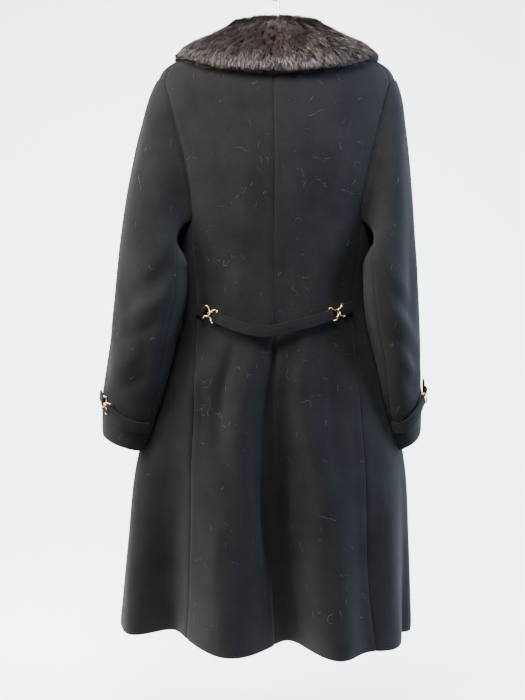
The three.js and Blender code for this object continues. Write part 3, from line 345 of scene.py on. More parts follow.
def set_socket(tree, socket, value):
    """Sets a socket, or links it where the value is the output of another node."""
    if isinstance(value, bpy.types.NodeSocket):
        tree.links.new(value, socket)
    else:
        socket.default_value = value


def fill(tree, node, **inputs):
    for name, value in inputs.items():
        set_socket(tree, node.inputs[name.replace("_", " ")], value)
    return node


def add(tree, kind, **inputs):
    return fill(tree, tree.nodes.new(kind), **inputs)


def nodes_of(name):
    """A material with its node tree, its shader and the place on the object."""
    material = bpy.data.materials.new(name)
    material.use_nodes = True
    tree = material.node_tree
    tree.nodes.clear()
    shader = tree.nodes.new("ShaderNodeBsdfPrincipled")
    add(tree, "ShaderNodeOutputMaterial", Surface=shader.outputs[0])
    return material, tree, shader, tree.nodes.new("ShaderNodeTexCoord").outputs["Object"]


def noise(tree, place, scale, detail=2.0, roughness=0.5):
    node = add(tree, "ShaderNodeTexNoise", Vector=place, Scale=scale, Detail=detail, Roughness=roughness)
    return node.outputs["Fac"]


def ramp(tree, value, stops):
    node = add(tree, "ShaderNodeValToRGB", Fac=value)
    elements = node.color_ramp.elements
    while len(elements) < len(stops):
        elements.new(0.5)
    for element, (position, colour) in zip(elements, stops):
        element.position = position
        element.color = (*colour, 1)
    return node.outputs["Color"]


def number_range(tree, value, low, high):
    return add(tree, "ShaderNodeMapRange", Value=value, To_Min=low, To_Max=high).outputs["Result"]


def calculate(tree, operation, *values):
    node = tree.nodes.new("ShaderNodeMath")
    node.operation = operation
    for socket, value in zip(node.inputs, values):
        set_socket(tree, socket, value)
    return node.outputs[0]


def bump(tree, height, strength, distance, **normal):
    node = add(tree, "ShaderNodeBump", Height=height, Strength=strength, Distance=distance, **normal)
    return node.outputs[0]


def attribute(tree, name):
    node = tree.nodes.new("ShaderNodeAttribute")
    node.attribute_name = name
    return node.outputs["Fac"]


def wool_material(name, base, light, nap):
    """Dark fulled wool: a fibrous nap over a faint twill, with soft mottling and sheen."""
    material, tree, shader, place = nodes_of(name)
    stretched = add(tree, "ShaderNodeMapping", Vector=place, Scale=(1, 1, 0.35)).outputs[0]
    fibre = noise(tree, stretched, 900, 3, 0.7)
    mottle = calculate(tree, "MULTIPLY", noise(tree, place, 16, 3, 0.6), 0.45)
    tone = calculate(tree, "MULTIPLY_ADD", fibre, 0.55, mottle)
    twill = add(tree, "ShaderNodeTexWave", Vector=place, Scale=260, Distortion=2.5, Detail=2)
    twill.bands_direction = "DIAGONAL"
    coarse = bump(tree, twill.outputs["Fac"], 0.22, 0.0006)
    fuzz = bump(tree, fibre, 0.5, 0.0008, Normal=coarse)
    grain = bump(tree, noise(tree, place, 2600, 1, 0.5), 0.35, 0.0004, Normal=fuzz)
    fill(tree, shader, Base_Color=ramp(tree, tone, [(0.3, base), (0.72, light)]), Roughness=0.92,
         Specular_IOR_Level=0.09, Sheen_Weight=nap, Sheen_Roughness=0.45,
         Sheen_Tint=(0.75, 0.8, 0.95, 1), Normal=grain)
    return material


def metal_material(name, dark, bright, rough):
    """Polished metal with small wear marks."""
    material, tree, shader, place = nodes_of(name)
    wear = ramp(tree, noise(tree, place, 160, 4, 0.6), [(0.3, dark), (0.65, bright)])
    gloss = number_range(tree, noise(tree, place, 420, 3), rough * 0.7, rough * 1.5)
    fill(tree, shader, Base_Color=wear, Metallic=1, Roughness=gloss,
         Normal=bump(tree, noise(tree, place, 900, 2), 0.12, 0.0002))
    return material


def plastic_material(name, dark, light, rough, scale, specular=0.5):
    """Moulded plastic or horn with a faint cloudy figure."""
    material, tree, shader, place = nodes_of(name)
    cloud = ramp(tree, noise(tree, place, scale, 4, 0.6), [(0.35, dark), (0.7, light)])
    gloss = number_range(tree, noise(tree, place, 300, 2), rough * 0.8, rough * 1.3)
    fill(tree, shader, Base_Color=cloud, Roughness=gloss, Specular_IOR_Level=specular,
         Normal=bump(tree, noise(tree, place, 1400, 2), 0.15, 0.0003))
    return material


def fur_material(name, roots, middles, tips):
    """Hair that lightens along its length, warmer and cooler from lock to lock."""
    material, tree, shader, place = nodes_of(name)
    colour = ramp(tree, attribute(tree, "along"), [(0.0, roots), (0.55, middles), (1.0, tips)])
    lock = ramp(tree, noise(tree, place, 34, 3, 0.6),
                [(0.32, (0.42, 0.40, 0.40)), (0.68, (1.3, 1.18, 1.1))])
    own = ramp(tree, attribute(tree, "tint"), [(0.0, (0.5, 0.5, 0.5)), (1.0, (1.5, 1.45, 1.42))])
    for other in (lock, own):
        multiply = tree.nodes.new("ShaderNodeMix")
        multiply.data_type = "RGBA"
        multiply.blend_type = "MULTIPLY"
        colour = fill(tree, multiply, Factor=1, A=colour, B=other).outputs["Result"]
    fill(tree, shader, Base_Color=colour, Roughness=0.48, Specular_IOR_Level=0.45)
    return material


WOOL = wool_material("wool", (0.0032, 0.0030, 0.0031), (0.0118, 0.0114, 0.0118), 0.05)
WOOL_TRIM = wool_material("wool_trim", (0.0028, 0.0026, 0.0027), (0.0110, 0.0106, 0.0108), 0.05)
GOLD = metal_material("gold", (0.55, 0.33, 0.12), (0.92, 0.66, 0.33), 0.22)
WIRE = metal_material("wire", (0.42, 0.43, 0.45), (0.74, 0.75, 0.78), 0.26)
HORN = plastic_material("button_horn", (0.004, 0.004, 0.0045), (0.012, 0.011, 0.011), 0.42, 90, 0.12)
HANGER = plastic_material("hanger_plastic", (0.02, 0.02, 0.021), (0.035, 0.035, 0.036), 0.45, 20)


# Cloth

# Soft creases in millimetres: from (x, z) to (x, z), how high, and how wide
BACK_CREASES = table("x0 z0 x1 z1 height width", [
    (-38, -330, -44, -470, 2.2, 22), (-95, -300, -60, -420, -2.2, 16), (-128, -430, -84, -505, -2.4, 12),
    (96, -330, 70, -450, -2.2, 18), (120, -420, 78, -500, 2.2, 13), (40, -240, 44, -420, 1.8, 26),
    (-18, -235, -16, -420, -1.6, 15), (15, -470, 18, -580, -2.4, 12), (-60, -500, -48, -590, 2.4, 14),
    (62, -510, 52, -590, 2.2, 14), (-100, -500, -108, -560, 2.2, 11), (104, -510, 110, -570, -2, 11),
    (-74, -640, -92, -790, -6, 12), (-38, -640, -58, -900, 5, 16), (1, -585, 9, -1060, -8.5, 9),
    (44, -620, 62, -860, 5, 15), (88, -650, 104, -840, -4.5, 13), (-18, -700, -28, -960, -4, 14),
    (34, -820, 46, -1060, 4, 14), (-118, -660, -150, -820, 2.4, 14), (132, -650, 160, -860, 2.2, 16),
    (-150, -860, -168, -1050, -2.2, 14), (80, -900, 96, -1060, -2.2, 13), (-84, -900, -96, -1070, 2.2, 14),
    (-140, -205, -110, -260, -1.8, 12), (140, -205, 112, -262, -1.8, 12), (0, -350, 2, -450, -1.2, 12),
])
FRONT_CREASES = table("x0 z0 x1 z1 height width", [
    (-70, -290, -52, -450, -2.4, 20), (80, -300, 60, -440, -2.4, 18), (-120, -400, -80, -500, 2.2, 14),
    (124, -410, 84, -500, 2.2, 14), (-46, -620, -70, -860, 2.8, 18), (58, -640, 86, -880, 2.6, 18),
    (-120, -680, -150, -900, -2.6, 15), (126, -690, 160, -920, -2.4, 15), (-90, -880, -110, -1060, 2.2, 16),
    (100, -900, 118, -1070, 2, 16), (30, -520, 34, -640, -1.8, 14), (-34, -560, -40, -700, -1.8, 14),
])
# Sleeve creases run in degrees round the sleeve and millimetres below the origin.
SLEEVE_CREASES = {
    "left": table("a0 d0 a1 d1 height width", [
        (150, 430, 78, 520, 3.0, 16), (140, 480, 70, 560, -3.4, 14), (128, 545, 60, 585, 2.8, 12),
        (120, 590, 52, 618, -3.0, 12), (30, 520, 66, 640, 2.2, 14), (96, 640, 44, 668, 2.8, 11),
        (118, 668, 60, 700, -2.6, 11), (20, 240, 44, 350, -1.8, 18), (60, 300, 84, 430, 2.0, 20),
        (100, 330, 116, 440, -2.4, 14), (10, 600, 30, 700, -1.8, 16), (-40, 420, -60, 620, 2.2, 20),
        (-80, 480, -70, 700, -2.4, 18), (180, 560, 200, 690, 2, 16),
    ]),
    "right": table("a0 d0 a1 d1 height width", [
        (146, 440, 82, 540, 3.0, 15), (132, 500, 66, 580, -3.6, 13), (120, 560, 58, 612, 3.0, 12),
        (112, 612, 50, 644, -3.0, 11), (30, 480, 50, 650, 2.4, 15), (90, 650, 40, 682, 2.6, 11),
        (20, 240, 40, 360, -1.8, 18), (62, 290, 80, 430, 2.0, 18), (98, 320, 118, 440, -2.4, 14),
        (12, 620, 24, 720, -1.8, 15), (-40, 420, -60, 620, 2.2, 20), (-80, 480, -70, 700, -2.2, 18),
        (180, 560, 200, 690, 2, 16), (104, 660, 66, 700, -2.4, 10),
    ]),
}

# Distances in millimetres of the grid columns that round off a panel's long edges
EDGE_STEPS = np.array([0, 0.5, 1.2, 2.2, 3.6, 5.6, 8.2])
# Outer grid and normals of each cloth panel, for the lint
SURFACES = {}


def crease_height(rows, first, second):
    """The sum of soft ridges and troughs along segments in a flat chart."""
    height = np.zeros(first.shape)
    for k, (a0, b0, a1, b1, rise, width) in enumerate(zip(*rows.values())):
        run_a, run_b = a1 - a0, b1 - b0
        length = math.hypot(run_a, run_b)
        t = ((first - a0) * run_a + (second - b0) * run_b) / length**2
        bow = 0.05 * length * np.sin(math.pi * np.clip(t, 0, 1) * (1.3 if k % 2 else 0.9))
        away = ((first - a0) * run_b - (second - b0) * run_a) / length - bow
        taper = smooth_step(-0.25, 0.3, t) * smooth_step(1.25, 0.7, t)
        height += rise * taper * np.exp(-((away / (width * (0.8 + 0.35 * np.clip(t, 0, 1)))) ** 2))
    return height


def body_creases(point):
    back = smooth_step(20, -20, point[..., 1])
    x, z = point[..., 0], point[..., 2]
    return crease_height(BACK_CREASES, x, z) * back + crease_height(FRONT_CREASES, x, z) * (1 - back)


def edge_distance(grid):
    """The distances in millimetres of each grid point from the two ends of its row."""
    step = np.linalg.norm(np.diff(grid, axis=1), axis=-1)
    along = np.concatenate([np.zeros((grid.shape[0], 1)), np.cumsum(step, axis=1)], axis=1)
    return along, along[:, -1:] - along


def shares_between(width, count):
    """Shares across a row of a given width, close together near both of its ends."""
    near = EDGE_STEPS / width
    middle = np.linspace(near[-1], 1 - near[-1], count - 2 * len(near) + 2)[1:-1]
    return np.concatenate([near, middle, (1 - near)[::-1]])


def rounded_edges(outer, normal, seams):
    """Turns an outer grid's long edges over a little, with a shallow groove beside each seam."""
    drop = np.zeros(outer.shape[:2])
    for distance, groove in zip(edge_distance(outer), seams):
        drop += 0.75 * np.exp(-((distance / 0.9) ** 2)) + groove * np.exp(-((distance / 4.2) ** 2))
        drop -= 0.35 * groove * np.exp(-(((distance - 8) / 3.5) ** 2))
    return outer - normal * drop[..., None]


def turned_hem(outer, normal, along, start=10.9, run=0.1):
    """Rounds a hem's outer edge, over a run of rings or places from a start."""
    return outer - normal * (0.8 * np.clip((along - start) / run, 0, 1) ** 2)[..., None]


def cloth_panel(node, outer, normal):
    """A thin shell on an outer grid, closed round its rim, in place of a solid."""
    SURFACES[node] = (outer, normal)
    rows, columns = outer.shape[:2]
    faces = (grid_faces(rows, columns) + grid_faces(rows, columns, rows * columns, flip=True)
             + rim_faces(rows, columns))
    points = np.concatenate([outer, outer - normal * WALL])
    return finish_piece(closed_form(f"{node}_cloth", points, faces, sharp=70), WOOL, "wool", node)


# Body panels

SHOULDER_SEAM = {"neck": 62, "tip": 65}
BACK_ARMHOLE = armhole_at(np.linspace(SHOULDER_TIP_AROUND, BACK_SEAM_AROUND, 400))
BACK_COLUMNS = 58
BACK_ROW_RINGS = np.unique(np.concatenate([
    np.linspace(0, TIP_RING, 30), np.linspace(TIP_RING, JUNCTION_RING, 38),
    np.linspace(JUNCTION_RING, 10.9, 92), [10.95, 10.98, 11],
]))
FRONT_COLUMNS = 66
FRONT_WIDTH = 300
FRONT_BOW = 2.6
UNDERLAP_ANGLES = (148, 168)
FRONT_ROW_RINGS = {"shoulder": 2.3, "underarm": 6.9, "growth": 1.2}
FRONT_ROWS = {"shoulder": 26, "armhole": 86, "skirt": 90}


def shoulder_angle(ring):
    return mix(SHOULDER_SEAM["neck"], SHOULDER_SEAM["tip"], ring / TIP_RING)


def above_junction(ring):
    return smooth_step(JUNCTION_RING + 0.9, JUNCTION_RING, ring)


def back_edge_angle(side, ring):
    hole = np.interp(ring, BACK_ARMHOLE["ring"], BACK_ARMHOLE["angle"])
    below = np.where(ring < JUNCTION_RING, hole, column_at(SIDE_BACK_SEAM, "ring", side, ring))
    at_hole = (ring > TIP_RING) & (ring < JUNCTION_RING)
    inset = gap_angle(ring) * np.where(at_hole, 0.5, 1)
    return np.where(ring < TIP_RING, shoulder_angle(ring), below) - inset


def back_panel(side):
    sign, rings = SLEEVES[side]["sign"], BACK_ROW_RINGS
    start = column_at(CENTRE_BACK_SEAM, "ring", "angle", rings) + sign * gap_angle(rings)
    end = sign * back_edge_angle(side, rings)
    width = np.abs(end - start) * np.radians(1) * column_at(BODY_RINGS, "at", "half", rings) * 0.85
    shares = np.array([shares_between(w, BACK_COLUMNS) for w in width])
    angle = start[:, None] + (end - start)[:, None] * shares
    ring = np.repeat(rings[:, None], shares.shape[1], axis=1)
    normal = body_normal(angle, ring)
    outer = body_point(angle, ring)
    beside_hole = smooth_step(TIP_RING - 0.6, TIP_RING, ring) * above_junction(ring)
    keep = 1 - beside_hole * smooth_step(30, 0, edge_distance(outer)[1])
    outer = outer + normal * (body_creases(outer) * keep)[..., None]
    outer = turned_hem(rounded_edges(outer, normal, (0.9, 0.75)), normal, ring)
    return cloth_panel(f"back_{side}", outer, normal)


def front_edge(side):
    """Rows of (angle, ring, centre-front ring) along the front's long outer edge."""
    low, high, growth = FRONT_ROW_RINGS.values()
    shoulder = np.linspace(0, TIP_RING, FRONT_ROWS["shoulder"])[:-1]
    shoulder_rows = (shoulder_angle(shoulder) + gap_angle(shoulder), shoulder, low * shoulder / TIP_RING)
    hole = ARMHOLE["around"]
    hole = np.concatenate([hole[hole <= SHOULDER_TIP_AROUND][::-1],
                           hole[(hole >= BACK_SEAM_AROUND) & (hole < 360)][::-1] - 360])
    places = np.linspace(0, len(hole) - 1, FRONT_ROWS["armhole"])
    edge = armhole_at(np.interp(places, np.arange(len(hole)), hole) % 360)
    corner = np.clip(np.maximum(1 - places, places - places[-1] + 1), 0, 1)
    hole_rows = (edge["angle"] + corner * gap_angle(edge["ring"]), edge["ring"],
                 mix(low, high, (places / places[-1]) ** growth))
    share = np.linspace(0, 1, FRONT_ROWS["skirt"])[1:]
    ring = mix(JUNCTION_RING, LAST_RING, share)
    skirt_rows = (column_at(SIDE_BACK_SEAM, "ring", side, ring) + gap_angle(ring), ring,
                  mix(high, LAST_RING, share))
    return np.concatenate([np.stack(rows, -1) for rows in (shoulder_rows, hole_rows, skirt_rows)])


def front_panel(side):
    edge = front_edge(side)
    shares = np.array([shares_between(FRONT_WIDTH, FRONT_COLUMNS) for _ in edge])
    start, start_ring, end_ring = edge[:, :1], edge[:, 1:2], edge[:, 2:3]
    angle = SLEEVES[side]["sign"] * (start + (180 + OVERLAP_ANGLE - start) * shares)
    ring = start_ring + (end_ring - start_ring) * (1 - (1 - shares) ** FRONT_BOW)
    normal = body_normal(angle, ring)
    outer = body_point(angle, ring)
    from_start, from_end = edge_distance(outer)
    beside_hole = smooth_step(2.4, 2.9, start_ring) * above_junction(start_ring)
    keep = (1 - beside_hole * smooth_step(40, 0, from_start)) * smooth_step(0, 60, from_end)
    outer = outer + normal * (body_creases(outer) * keep)[..., None]
    if side == "left":
        outer = outer - normal * (UNDERLAP_DROP * smooth_step(*UNDERLAP_ANGLES, np.abs(angle)))[..., None]
    outer = turned_hem(rounded_edges(outer, normal, (0.75, 0.1)), normal, ring)
    return cloth_panel(f"front_{side}", outer, normal)


# Sleeves

UNDER_CAP = {"from": 100, "to": 262, "reach": 0.16, "plainReach": 0.5}
SLEEVE_SEAM_ANGLE = 0.04
SLEEVE_WIDTH_RADIUS = 62
SLEEVE_COLUMNS = {"upper": 60, "under": 40}
CUFF_TURN_START = 1.97
SLEEVE_PLACES = np.unique(np.concatenate([
    [0, 0.008, 0.02, 0.035], np.linspace(0.05, 1, 44), np.linspace(1, CUFF_TURN_START, 56), [1.985, 1.995, 2],
]))


def sleeve_section(side, around, down):
    sleeve = SLEEVES[side]
    value = row_at(sleeve["sections"], "down", down)
    middle, half = (value["outer"] + value["inner"]) / 2, (value["outer"] - value["inner"]) / 2
    cosine, sine = np.cos(np.radians(around)), np.sin(np.radians(around))
    swell = np.zeros(np.broadcast(around, down).shape)
    for at, fold_down, height, width, length in sleeve["folds"]:
        away = (around - at + 540) % 360 - 180
        swell = swell + height * np.exp(-((away / width) ** 2) - ((down - fold_down) / length) ** 2)
    x = middle + (half + swell) * cosine
    y = value["centreY"] - (value["halfDepth"] + swell) * sine + value["lean"] * cosine
    tilt = sleeve["tilt"] * smooth_step(620, 790, down) * np.cos(np.radians(around - 150))
    return np.stack([sleeve["sign"] * x, y, -down - tilt], -1)


def sleeve_down(side, place):
    """How far below the origin a place from 1 to 2 on the sleeve is."""
    return mix(-SLEEVE_START_Z, -SLEEVES[side]["cuffZ"], place - 1)


def sleeve_point(side, around, place):
    """A place on the sleeve: 0 at the armhole, 1 at the first full section, 2 at the cuff."""
    sign = SLEEVES[side]["sign"]
    around, place = np.broadcast_arrays(np.asarray(around, float), np.asarray(place, float))
    turn = around % 360
    tube = sleeve_section(side, turn, sleeve_down(side, np.maximum(place, 1)))
    edge = armhole_at(turn)
    start = body_point(sign * edge["angle"], edge["ring"])
    first_down = np.full(turn.shape, float(-SLEEVE_START_Z))
    end = sleeve_section(side, turn, first_down)
    up = unit(end - sleeve_section(side, turn, first_down + 20))
    under = (1 - np.cos(np.radians(turn))) / 2
    sine = np.sin(np.radians(turn))
    leave = unit(np.stack([sign * (0.78 + 0.12 * under), -0.22 * sine, -0.62 + 0.2 * under], -1))
    first = start + leave * (26 + 22 * sine**2 - 4 * under)[..., None]
    second = end + up * (0.46 * (start[..., 2] - end[..., 2]))[..., None]
    t = np.minimum(place, 1)[..., None]
    cap = (1 - t) ** 3 * start + 3 * t * (1 - t) ** 2 * first + 3 * t**2 * (1 - t) * second + t**3 * end
    in_under = (turn > UNDER_CAP["from"]) & (turn < UNDER_CAP["to"])
    reach = np.where(in_under, UNDER_CAP["reach"], UNDER_CAP["plainReach"])
    rise = mix(SEAM_GAP, SLEEVE_CLEARANCE, smooth_step(0, 1, np.minimum(place, 1) / reach))
    clearance = np.where(place >= 1, SLEEVE_CLEARANCE, rise)
    return keep_clear(np.where((place >= 1)[..., None], tube, cap), clearance)


def sleeve_surface(side, around, place):
    """Points of a sleeve's outer surface, with a normal for each."""
    outer = sleeve_point(side, around, place)
    down = sleeve_point(side, around, place + 0.02) - sleeve_point(side, around, np.maximum(place - 0.02, 0))
    across = sleeve_point(side, around + 2, place) - sleeve_point(side, around - 2, place)
    return outer, unit(np.cross(across, down)) * SLEEVES[side]["sign"]


def under_arm(around):
    return (smooth_step(BACK_SEAM_AROUND - 20, BACK_SEAM_AROUND + 20, around)
            * smooth_step(20, -20, around - FRONT_SEAM_AROUND))


def into_armhole(sign, edge):
    """The direction from the armhole's edge towards its middle."""
    angle = mix(edge["angle"], ARMHOLE_MIDDLE["angle"], 0.04)
    nearer = body_point(sign * angle, mix(edge["ring"], ARMHOLE_MIDDLE["ring"], 0.04))
    return unit(nearer - body_point(sign * edge["angle"], edge["ring"]))


def sleeve_crease(side, turn, place, outer):
    """Crease heights, held back at the seams, at both ends, under the strap and by the body."""
    down = np.where(place >= 1, sleeve_down(side, place), -outer[..., 2])
    height = crease_height(SLEEVE_CREASES[side], np.where(turn > 236, turn - 360, turn), down)
    beside_seam = 0.3 + 0.7 * smooth_step(0, 12, np.minimum(*edge_distance(outer)))
    keep = smooth_step(0, 0.12, place) * smooth_step(2, 1.9, place) * beside_seam
    to_body = smooth_step(118, 140, turn) * smooth_step(240, 215, turn)
    strap = smooth_step(690, 712, down)
    return np.where(height > 0, height * (1 - 0.75 * to_body), height) * keep * (1 - 0.8 * strap)


def sleeve_panel(side, part, start, end):
    sign = SLEEVES[side]["sign"]
    shares = shares_between((end - start) * np.radians(1) * SLEEVE_WIDTH_RADIUS, SLEEVE_COLUMNS[part])
    around = start + SLEEVE_SEAM_ANGLE + (end - start - 2 * SLEEVE_SEAM_ANGLE) * shares
    place, around = np.meshgrid(SLEEVE_PLACES, around, indexing="ij")
    outer, normal = sleeve_surface(side, around, place)
    turn = around % 360
    edge = armhole_at(turn)
    share = under_arm(turn)
    over = body_normal(sign * edge["angle"], edge["ring"]) * (1 - share)[..., None]
    at_rim = unit(over + normal * share[..., None])
    near = np.exp(-((place / 0.03) ** 2))[..., None]
    normal = unit(normal * (1 - near) + at_rim * near)
    rim = (place == 0)[..., None]
    outer = np.where(rim, outer + into_armhole(sign, edge) * abs(SEAM_CLOSE), outer)
    outer = outer + normal * sleeve_crease(side, turn, place, outer)[..., None]
    ridge = 0.5 * np.exp(-(((place - 0.06) / 0.035) ** 2)) * (1 - share)
    cap = 0.9 * np.exp(-((place / 0.022) ** 2)) - ridge
    outer = outer - normal * (cap * smooth_step(0, 0.01, place))[..., None]
    outer = rounded_edges(outer, normal, (0.6, 0.6))
    outer = turned_hem(outer, normal, place, CUFF_TURN_START, 2 - CUFF_TURN_START)
    return cloth_panel(f"sleeve_{side}_{part}", outer, normal)


for side in ("left", "right"):
    back_panel(side)
    front_panel(side)
    sleeve_panel(side, "upper", FRONT_SEAM_AROUND, BACK_SEAM_AROUND + 360)
    sleeve_panel(side, "under", BACK_SEAM_AROUND, FRONT_SEAM_AROUND)


# The fur collar

# Share of the way from the neck to the edge, share of the thickness, and reach past the edge
COLLAR_TOP = ((1.0, 0.55, 7), (0.84, 0.95, 0), (0.6, 1.05, 0), (0.34, 1.1, 0))
ROLL_PLACE = 6.1
LAST_PLACE = 8
FUR = fur_material("fur", (0.0026, 0.0019, 0.0017), (0.0125, 0.0086, 0.0072), (0.050, 0.038, 0.034))
FUR_SKIN = wool_material("fur_skin", (0.006, 0.0042, 0.0035), (0.014, 0.009, 0.007), 0.1)
FUR_PARTS = (("collar_fur_left", -COLLAR_END_ANGLE, -48, 31000), ("collar_fur_back", -48, 48, 33000),
             ("collar_fur_right", 48, COLLAR_END_ANGLE, 31000))
FUR_SEED = 20
HAIR_RUN = 0.62
CLUMP = {"angle": 3.4, "place": 0.42}
SKIN_EDGE = 0.93


def collar_lift(angle):
    return mix(COLLAR_LIFT["back"], COLLAR_LIFT["front"], smooth_step(85, 125, np.abs(angle)))


def collar_points(angle, pile):
    """Outline points from the fall's edge over the roll to the stand, one row per angle.
    pile is 1 at the hair tips and 0 at the skin."""
    size = row_at(COLLAR, "angle", np.abs(angle))
    full = mix(0.5, 1, smooth_step(0, 10, COLLAR_END_ANGLE - np.abs(angle)))
    lift = collar_lift(angle)
    edge_share = mix(SKIN_EDGE, 1.0, pile)

    def on_body(share, height):
        ring = size["edge"] * share
        return body_point(angle, ring) + body_normal(angle, ring) * height[..., None]

    points = [on_body(edge_share, lift)]
    for share, thick, beyond in COLLAR_TOP:
        height = size["thick"] * thick * full * mix(0.38, 1, pile)
        point = on_body(share * edge_share, lift + height)
        if beyond:
            outward = unit(on_body(1, lift * 0) - on_body(0.94, lift * 0))
            point = point + outward * (beyond * mix(-0.6, 1, pile))[..., None]
        points.append(point)
    neck = body_point(angle, 0.0)
    radial = unit(neck * np.array([1, 1, 0]))
    top = mix(neck[..., 2], size["topZ"], full) - mix(12, 0, pile)
    inset = mix(6, 0, pile)

    def at_roll(out, z):
        point = neck + radial * out[..., None]
        return np.stack([point[..., 0], point[..., 1], z], -1)

    points.append(at_roll(8 - size["topIn"] - inset, top - 5))
    points.append(at_roll(-size["topIn"] / 2, top))
    points.append(at_roll(-size["topIn"] - 8 + inset * 0.7, top - 6))
    points.append(at_roll(np.full(angle.shape, -15.0), mix(neck[..., 2], top, 0.25) + 2))
    return np.stack(points, -2)


def collar_at(angle, place, pile):
    """A point of the collar at an angle and a place from 0 at the fall's edge to 8 at the stand."""
    control = collar_points(angle, pile)
    place = np.clip(place, 0, LAST_PLACE - 1e-6)
    k = np.floor(place).astype(int)

    def pick(index):
        index = np.clip(index, 0, LAST_PLACE)[..., None, None].repeat(3, -1)
        return np.take_along_axis(control, index, axis=-2)[..., 0, :]

    return spline(*(pick(k + step) for step in (-1, 0, 1, 2)), (place - k)[..., None])


def blades(name, root, bend, tip, across, width, tint):
    """Thin tapered hairs, each curving from its root over its bend to its tip."""
    count = len(root)
    parts, along = [], []
    for t, share in ((0.0, 0.8), (0.38, 1.0), (0.74, 0.62), (1.0, 0.0)):
        centre = (1 - t) ** 2 * root + 2 * t * (1 - t) * bend + t**2 * tip
        side = across * (width * share / 2)[:, None]
        parts += [centre - side, centre + side] if share else [centre]
        along += [t, t] if share else [t]
    shape = np.array([0, 1, 3, 2, 2, 3, 5, 4, 4, 5, 6])
    loops = np.arange(count)[:, None] * len(parts) + shape
    starts = np.arange(count)[:, None] * len(shape) + np.array([0, 4, 8])
    piece = quick_mesh(name, np.stack(parts, 1).reshape(-1, 3), loops.ravel(), starts.ravel())
    for label, values in (("along", np.tile(along, count)), ("tint", np.repeat(tint, len(parts)))):
        data = piece.data.attributes.new(label, "FLOAT", "POINT").data
        data.foreach_set("value", values.astype(np.float32))
    return piece


def fur_part(name, start, end, count, seed):
    """One share of the fur: hairs in clumps that flow from the roll to the edge and the stand."""
    random = np.random.default_rng(seed)
    angle = random.uniform(start, end, count)
    place = random.uniform(0.02, 7.2, count)
    clump_angle = np.round(angle / CLUMP["angle"] + random.normal(0, 0.18, count)) * CLUMP["angle"]
    clump_place = np.round(place / CLUMP["place"] + random.normal(0, 0.18, count)) * CLUMP["place"]
    # A number from 0 to 1 that the hairs of a clump share
    shake = np.sin(clump_angle * 12.9898 + clump_place * 78.233) * 43758.5453
    shake = shake - np.floor(shake)
    flow = np.where(place < ROLL_PLACE, -1.0, 1.0)
    run = HAIR_RUN * random.uniform(0.75, 1.2, count) * (0.85 + 0.4 * shake)
    pile = random.uniform(0.72, 1.0, count) * (0.86 + 0.2 * shake)
    pull = random.uniform(0.15, 0.6, count)
    tip_angle = mix(angle, clump_angle, pull) + (shake - 0.5) * 3.2 + random.normal(0, 0.9, count)
    tip_angle = np.clip(tip_angle, -COLLAR_END_ANGLE, COLLAR_END_ANGLE)
    aim = mix(place, clump_place, pull * 0.5) + flow * run
    root = collar_at(angle, place, np.zeros(count))
    tip = collar_at(tip_angle, np.clip(aim, 0.45, LAST_PLACE), pile)
    edge = column_at(COLLAR, "angle", "edge", np.abs(tip_angle))
    outward = unit(body_point(tip_angle, edge) - body_point(tip_angle, edge * 0.94))
    tip = tip + outward * (np.maximum(0.45 - aim, 0) * 5)[:, None]
    bend = mix(root, collar_at(mix(angle, tip_angle, 0.4), place + flow * run * 0.25, pile), 0.78)
    direction = unit(tip - root)
    normal = unit(bend - mix(root, tip, 0.5) + direction * 1e-3)
    across = unit(np.cross(direction, normal))
    roll = random.normal(0, 0.5, count)[:, None]
    across = unit(across * np.cos(roll) + normal * np.sin(roll))
    width = random.uniform(0.75, 1.35, count)
    tint = np.clip(0.5 + 0.35 * (shake - 0.5) + random.normal(0, 0.22, count), 0, 1)
    finish_piece(blades(name, root, bend, tip, across, width, tint), FUR, "fur", "collar_fur")


def fur_base():
    """The collar's skin under the hair, a closed soft body."""
    angles = np.linspace(-COLLAR_END_ANGLE, COLLAR_END_ANGLE, 150)
    a, p = np.meshgrid(angles, np.linspace(0, LAST_PLACE, 44), indexing="ij")
    top = collar_at(a.ravel(), p.ravel(), np.zeros(a.size)).reshape(*a.shape, 3)
    edge = column_at(COLLAR, "angle", "edge", np.abs(angles)) * SKIN_EDGE
    lift = collar_lift(angles)[:, None]
    under = [body_point(angles, edge * share) + body_normal(angles, edge * share) * lift
             for share in (0.02, 0.25, 0.5, 0.75)]
    section = np.concatenate([top, np.stack(under, 1)], axis=1)
    piece = closed_form("collar_skin", section, ring_faces(*section.shape[:2]))
    return finish_piece(piece, FUR_SKIN, "fur", "collar_fur")


COLLAR_SKIN = fur_base()
for order, fur in enumerate(FUR_PARTS):
    fur_part(*fur, FUR_SEED + order)


# Straps, tabs, links, buttons and the hook

LINK_ROD = 1.2
LINK_BEND = 4.6
LINK_TWIST = 0.64
LINK_OVERLAP = 3.3
STRAP_BAR_FROM_TIP = 3.2
STRAP_STEP = 2.2
STRAP_SIDES = 36
TAB_LIFT = 3.7
BELT_WIDTH = 17
CUFF_STRAP_WIDTH = 18
STRAP_END = table("fromTip half", [(0, 0.2), (0.5, 1.72), (1.7, 2.83), (3.6, 3.17), (6.2, 2.3), (9, 1.5)])
STRAP_END_LENGTH = 9
BELT_LINE = table("x z standOff", [
    (-99, -580, 6.5), (-78, -590, 8), (-54, -599, 10), (-30, -604, 12), (-6, -602, 12),
    (20, -596, 11), (44, -591, 9), (66, -584, 8), (85, -576, 6.5),
])
BELT_ENDS = {"left": {"x": -127, "z": -566, "depth": 13.5}, "right": {"x": 118, "z": -563, "depth": 15}}
CUFF_LINK_DEPTH = 12.5
CUFF_TABS = {"left": (16, 713), "right": (6, 694)}
